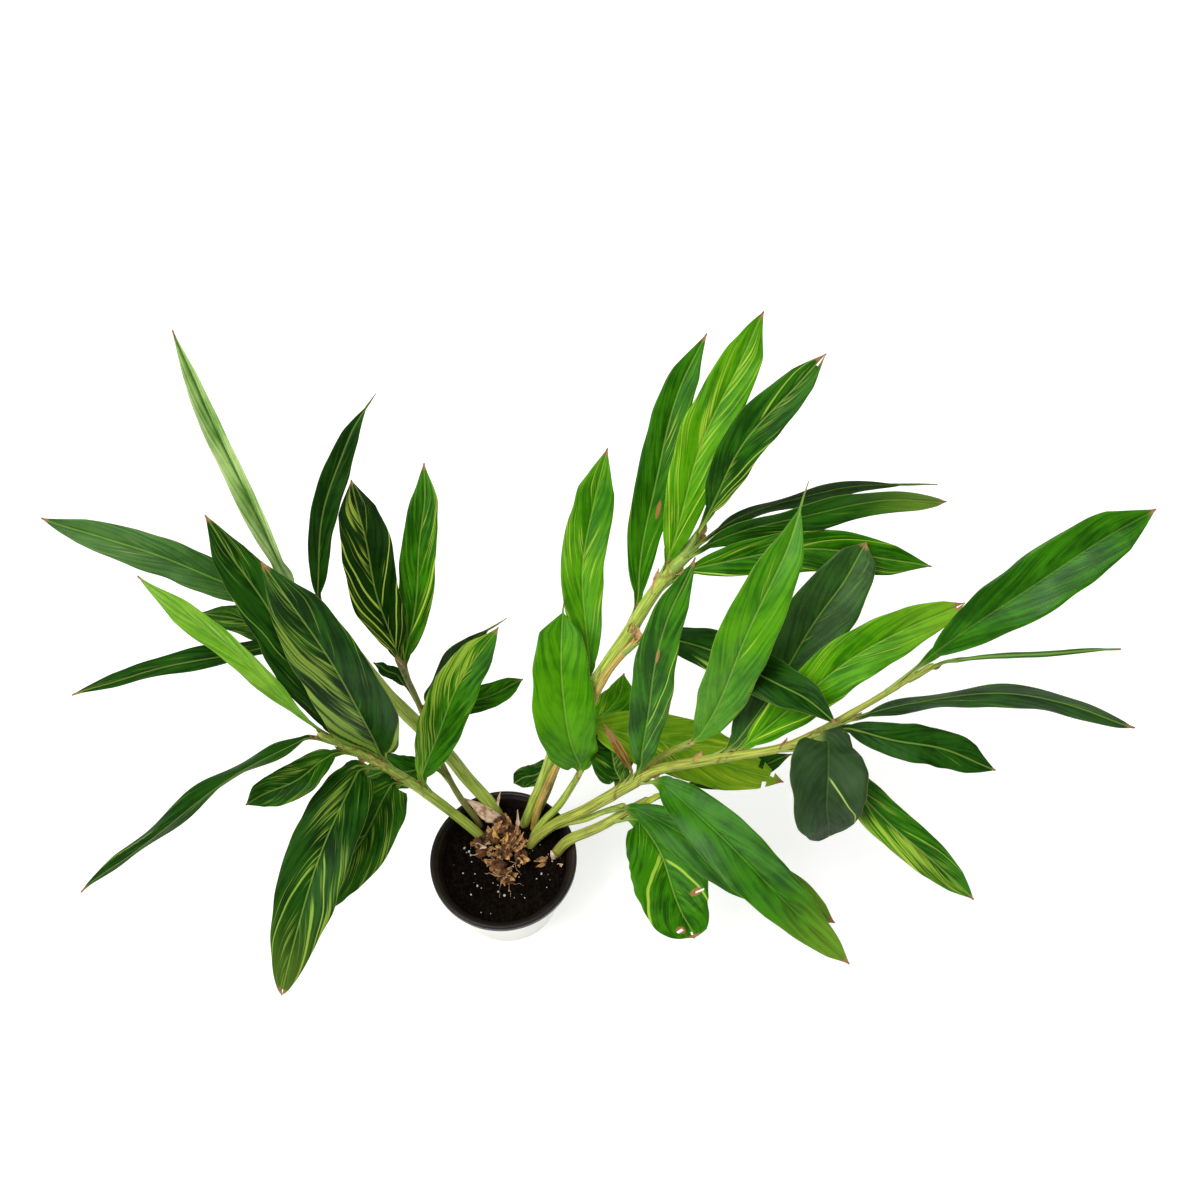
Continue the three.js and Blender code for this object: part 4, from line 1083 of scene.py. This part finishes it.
# Papery bits on the canes: the cane, how far up it, the tip from the foot, width, bow and roll of the edges.
papers = {
    "sheath": [
        ("left_cane", 0.7, (-0.029, 0.014, 0.015), 0.011, (0, 0, 0.003), 0.7),
        ("left_cane", 0.72, (-0.014, 0.011, 0.013), 0.008, (0, 0, 0.004)),
        ("left_cane", 0.7, (-0.021, 0.003, 0.012), 0.007, (0, 0, 0.003), 0.8),
        ("left_cane", 0.67, (-0.005, 0.004, 0.011), 0.007, (0, 0, 0.002)),
        ("upper_left_cane", 0.35, (-0.003, 0.011, 0.012), 0.004, (0.001, 0, 0), 1.2),
        ("upper_left_cane", 0.68, (-0.005, 0.009, 0.009), 0.006, (0, 0, 0.001), 1),
        ("back_left_cane", 1, (0.008, -0.009, -0.002), 0.0016, (0, 0, 0.002), 1.2),
        ("middle_side_cane", 0.98, (0.001, 0.009, 0.011), 0.01),
        ("middle_cane", 0.72, (0.004, 0.006, 0.011), 0.008),
        ("middle_cane", 0.59, (0.007, 0.008, 0.01), 0.008),
        ("young_shoot", 0.92, (0.006, 0.008, 0.011), 0.006, (0, 0, 0.001), 1),
        ("lower_right_cane", 0.96, (0.028, -0.008, -0.001), 0.003, (0, -0.002, 0.002), 0.7),
        ("right_cane", 0.52, (0.008, 0.008, 0.009), 0.01),
        ("right_cane", 0.75, (0.014, 0.006, 0.009), 0.008),
        ("right_branch", 0.93, (0.008, 0.004, 0.008), 0.007),
        ("right_cane", 0.7, (0.006, 0.006, 0.009), 0.008),
        ("middle_cane", 0.82, (0.005, 0.017, 0.017), 0.009),
    ],
    "green": [
        ("lower_right_cane", 0.96, (0.022, 0.008, 0.01), 0.009, (0, 0, 0.002), 0.7),
    ],
}
paperSide = np.array((0, -0.55, 0.83))  # the side of a cane where its papery bits are seen


# A thin pointed scrap of dried sheath from its foot to its tip: bow bends it, curl rolls its edges in.
def scrapGrid(seed, foot, tip, width, bow=(0, 0, 0.001), curl=0.9, thick=0.0005, steps=12):
    foot, tip, bow = (np.array(k, float) for k in (foot, tip, bow))
    s = np.linspace(0, 1, steps)[:, None]
    middle = (foot + tip) / 2 + bow
    centres = (1 - s) ** 2 * foot + 2 * (1 - s) * s * middle + s**2 * tip
    ways = unit(np.gradient(centres, axis=0))
    ahead = unit(np.array((math.sin(seed * 2.4), -1.2, 0.8)))
    faces = unit(ahead - ways * (ways @ ahead)[:, None])
    side = np.cross(ways, faces)
    u = np.linspace(-1, 1, 9)[None, :]
    s = s[:, 0]
    ragged = np.array([noise.noise(Vector((k * 6, seed * 1.7, 2))) for k in s])
    half = width / 2 * (1 - s**2) * (0.55 + 0.45 * smooth(s, 0, 0.35)) * (1 + 0.5 * ragged)
    half = np.maximum(half, 0.0004)[:, None]
    crumple = [[noise.noise(Vector((k * 5, j * 2.5, seed))) for j in u[0]] for k in s]
    x = half * np.sin(curl * u) / curl
    z = half * (1 - np.cos(curl * u)) / curl + 0.12 * width * np.array(crumple)
    middle = centres[:, None] + side[:, None] * x[..., None] + faces[:, None] * z[..., None]
    normal = faces[:, None] * np.cos(curl * u)[..., None] - side[:, None] * np.sin(curl * u)[..., None]
    return middle + normal * thick / 2, middle - normal * thick / 2


# A papery bit whose foot lies on its cane.
def paperGrid(seed, name, at, reach, *shape):
    cane = canes[name]
    along = wayAt(cane["line"], at)
    out = unit(paperSide - along * paperSide.dot(along))
    foot = placeAt(cane["line"], at) + out * caneRadius(cane, at)
    return scrapGrid(seed, foot, foot + reach, *shape)


# The papery collar that stands between a leaf's stalk and the cane.
def collarMesh(name, leaf, cane, seed):
    centre, along, out = outOfCane(cane, leaf)
    radius = float(caneRadius(cane, leaf["at"]))
    foot = centre + out * radius * 0.8 - along * 0.003
    high = 0.004 + 0.005 * abs(math.sin(seed * 1.9))
    tip = foot + along * (high + 0.003) + out * 0.0015
    return sheetsMesh("collar." + name, [scrapGrid(seed, foot, tip, radius * 1.7, out * 0.001, 1.1)])


# Torn bits of old sheaths all over the rootstock.
def looseScrap(rng):
    centre, size, turn = knobs[rng.integers(len(knobs))]
    angle = rng.random() * 2 * math.pi
    way = np.array((math.cos(angle), math.sin(angle), 0))
    foot = np.array(centre) + way * np.array(size) * 0.75 + (0, 0, size[2] * 0.35)
    long = 0.004 + 0.009 * rng.random()
    tip = foot + way * long * (0.3 + 0.5 * rng.random()) + (0, 0, long * (0.1 + 0.8 * rng.random()))
    width = 0.0035 + 0.006 * rng.random()
    bow, curl = way * 0.002 * rng.random(), 0.5 + 0.8 * rng.random()
    return scrapGrid(rng.random() * 40, foot, tip, width, bow, curl)


# A thin root that leaves a knob and runs over the soil.
def rootGrid(rng):
    centre, size, turn = knobs[rng.integers(len(knobs))]
    angle = rng.random() * 2 * math.pi if rng.random() < 0.5 else -math.pi / 2 + rng.normal() * 0.7
    spot = np.array(centre[:2])
    radius = 0.0003 + 0.0005 * rng.random()
    path = [(*spot, centre[2] + 0.002)]
    for step in range(9):
        angle += rng.normal() * 0.35
        spot = spot + np.array((math.cos(angle), math.sin(angle))) * (0.0022 + 0.001 * rng.random())
        high = soilHeight(*spot) + radius + max(0, 0.006 - step * 0.0016) + 0.0012 * rng.random()
        path.append((*spot, high))
    line = growthLine(path)
    shares = np.linspace(0, 1, 40)
    centres, ways = placeAt(line, shares), wayAt(line, shares)
    side = unit(np.cross(ways, (0, 0, 1)))
    up = np.cross(side, ways)
    angles = circle(7)[:, None]
    spokes = side[:, None] * np.cos(angles) + up[:, None] * np.sin(angles)
    return centres[:, None] + radius * (1 - 0.7 * shares)[:, None, None] * spokes


def rootsMesh(rng):
    points, faces = [], []
    for _ in range(rootstock["roots"]):
        rings = rootGrid(rng)
        first = sum(len(k) for k in points)
        points.append(rings.reshape(-1, 3))
        faces += [tuple(first + i for i in face) for face in tubeFaces(*rings.shape[:2])]
    return buildMesh("rootstock.roots", np.concatenate(points), faces)


def barkMaterial(name, kind, roughness=0.8):
    material, tree = startMaterial(name)
    dark, pale = map(tint, barkTones[kind])
    place = objectPlace(tree)
    fibres = mottle(place, 600, 3, 0.7)
    colour = blend(fade(mottle(place, 150, 4, 0.65), 0.34, 0.55), dark, pale)
    colour = blend(fade(fibres, 0.55, 0.75, 0, 0.4), colour, dark)
    fillShader(tree, colour, roughness, fibres, 0.0008, 0.7)
    return material


def addScales(group, grids):
    look = barkMaterial(group + " dried scales", group)
    addPiece(sheetsMesh("rootstock.scales_" + group, grids), look, "rhizome")


def addRootstock():
    addPiece(knobsMesh(), barkMaterial("rootstock bark", "knobs"), "rhizome", "rhizome")
    rng = np.random.default_rng(11)
    for group, rows in scraps.items():
        grids = [scrapGrid(i * 1.3, *row) for i, row in enumerate(rows)]
        if group == "tan":
            grids += [looseScrap(rng) for _ in range(rootstock["looseScraps"])]
        addScales(group, grids)
    for group, rows in papers.items():
        addScales(group, [paperGrid(i * 1.3, *row) for i, row in enumerate(rows)])
    addPiece(rootsMesh(rng), barkMaterial("pale roots", "roots"), "rhizome")
    print("rootstock set")


addCamera()
addStudio()
addNurseryPot()
addOuterPot()
addSoil()
addRootstock()
addPlant()
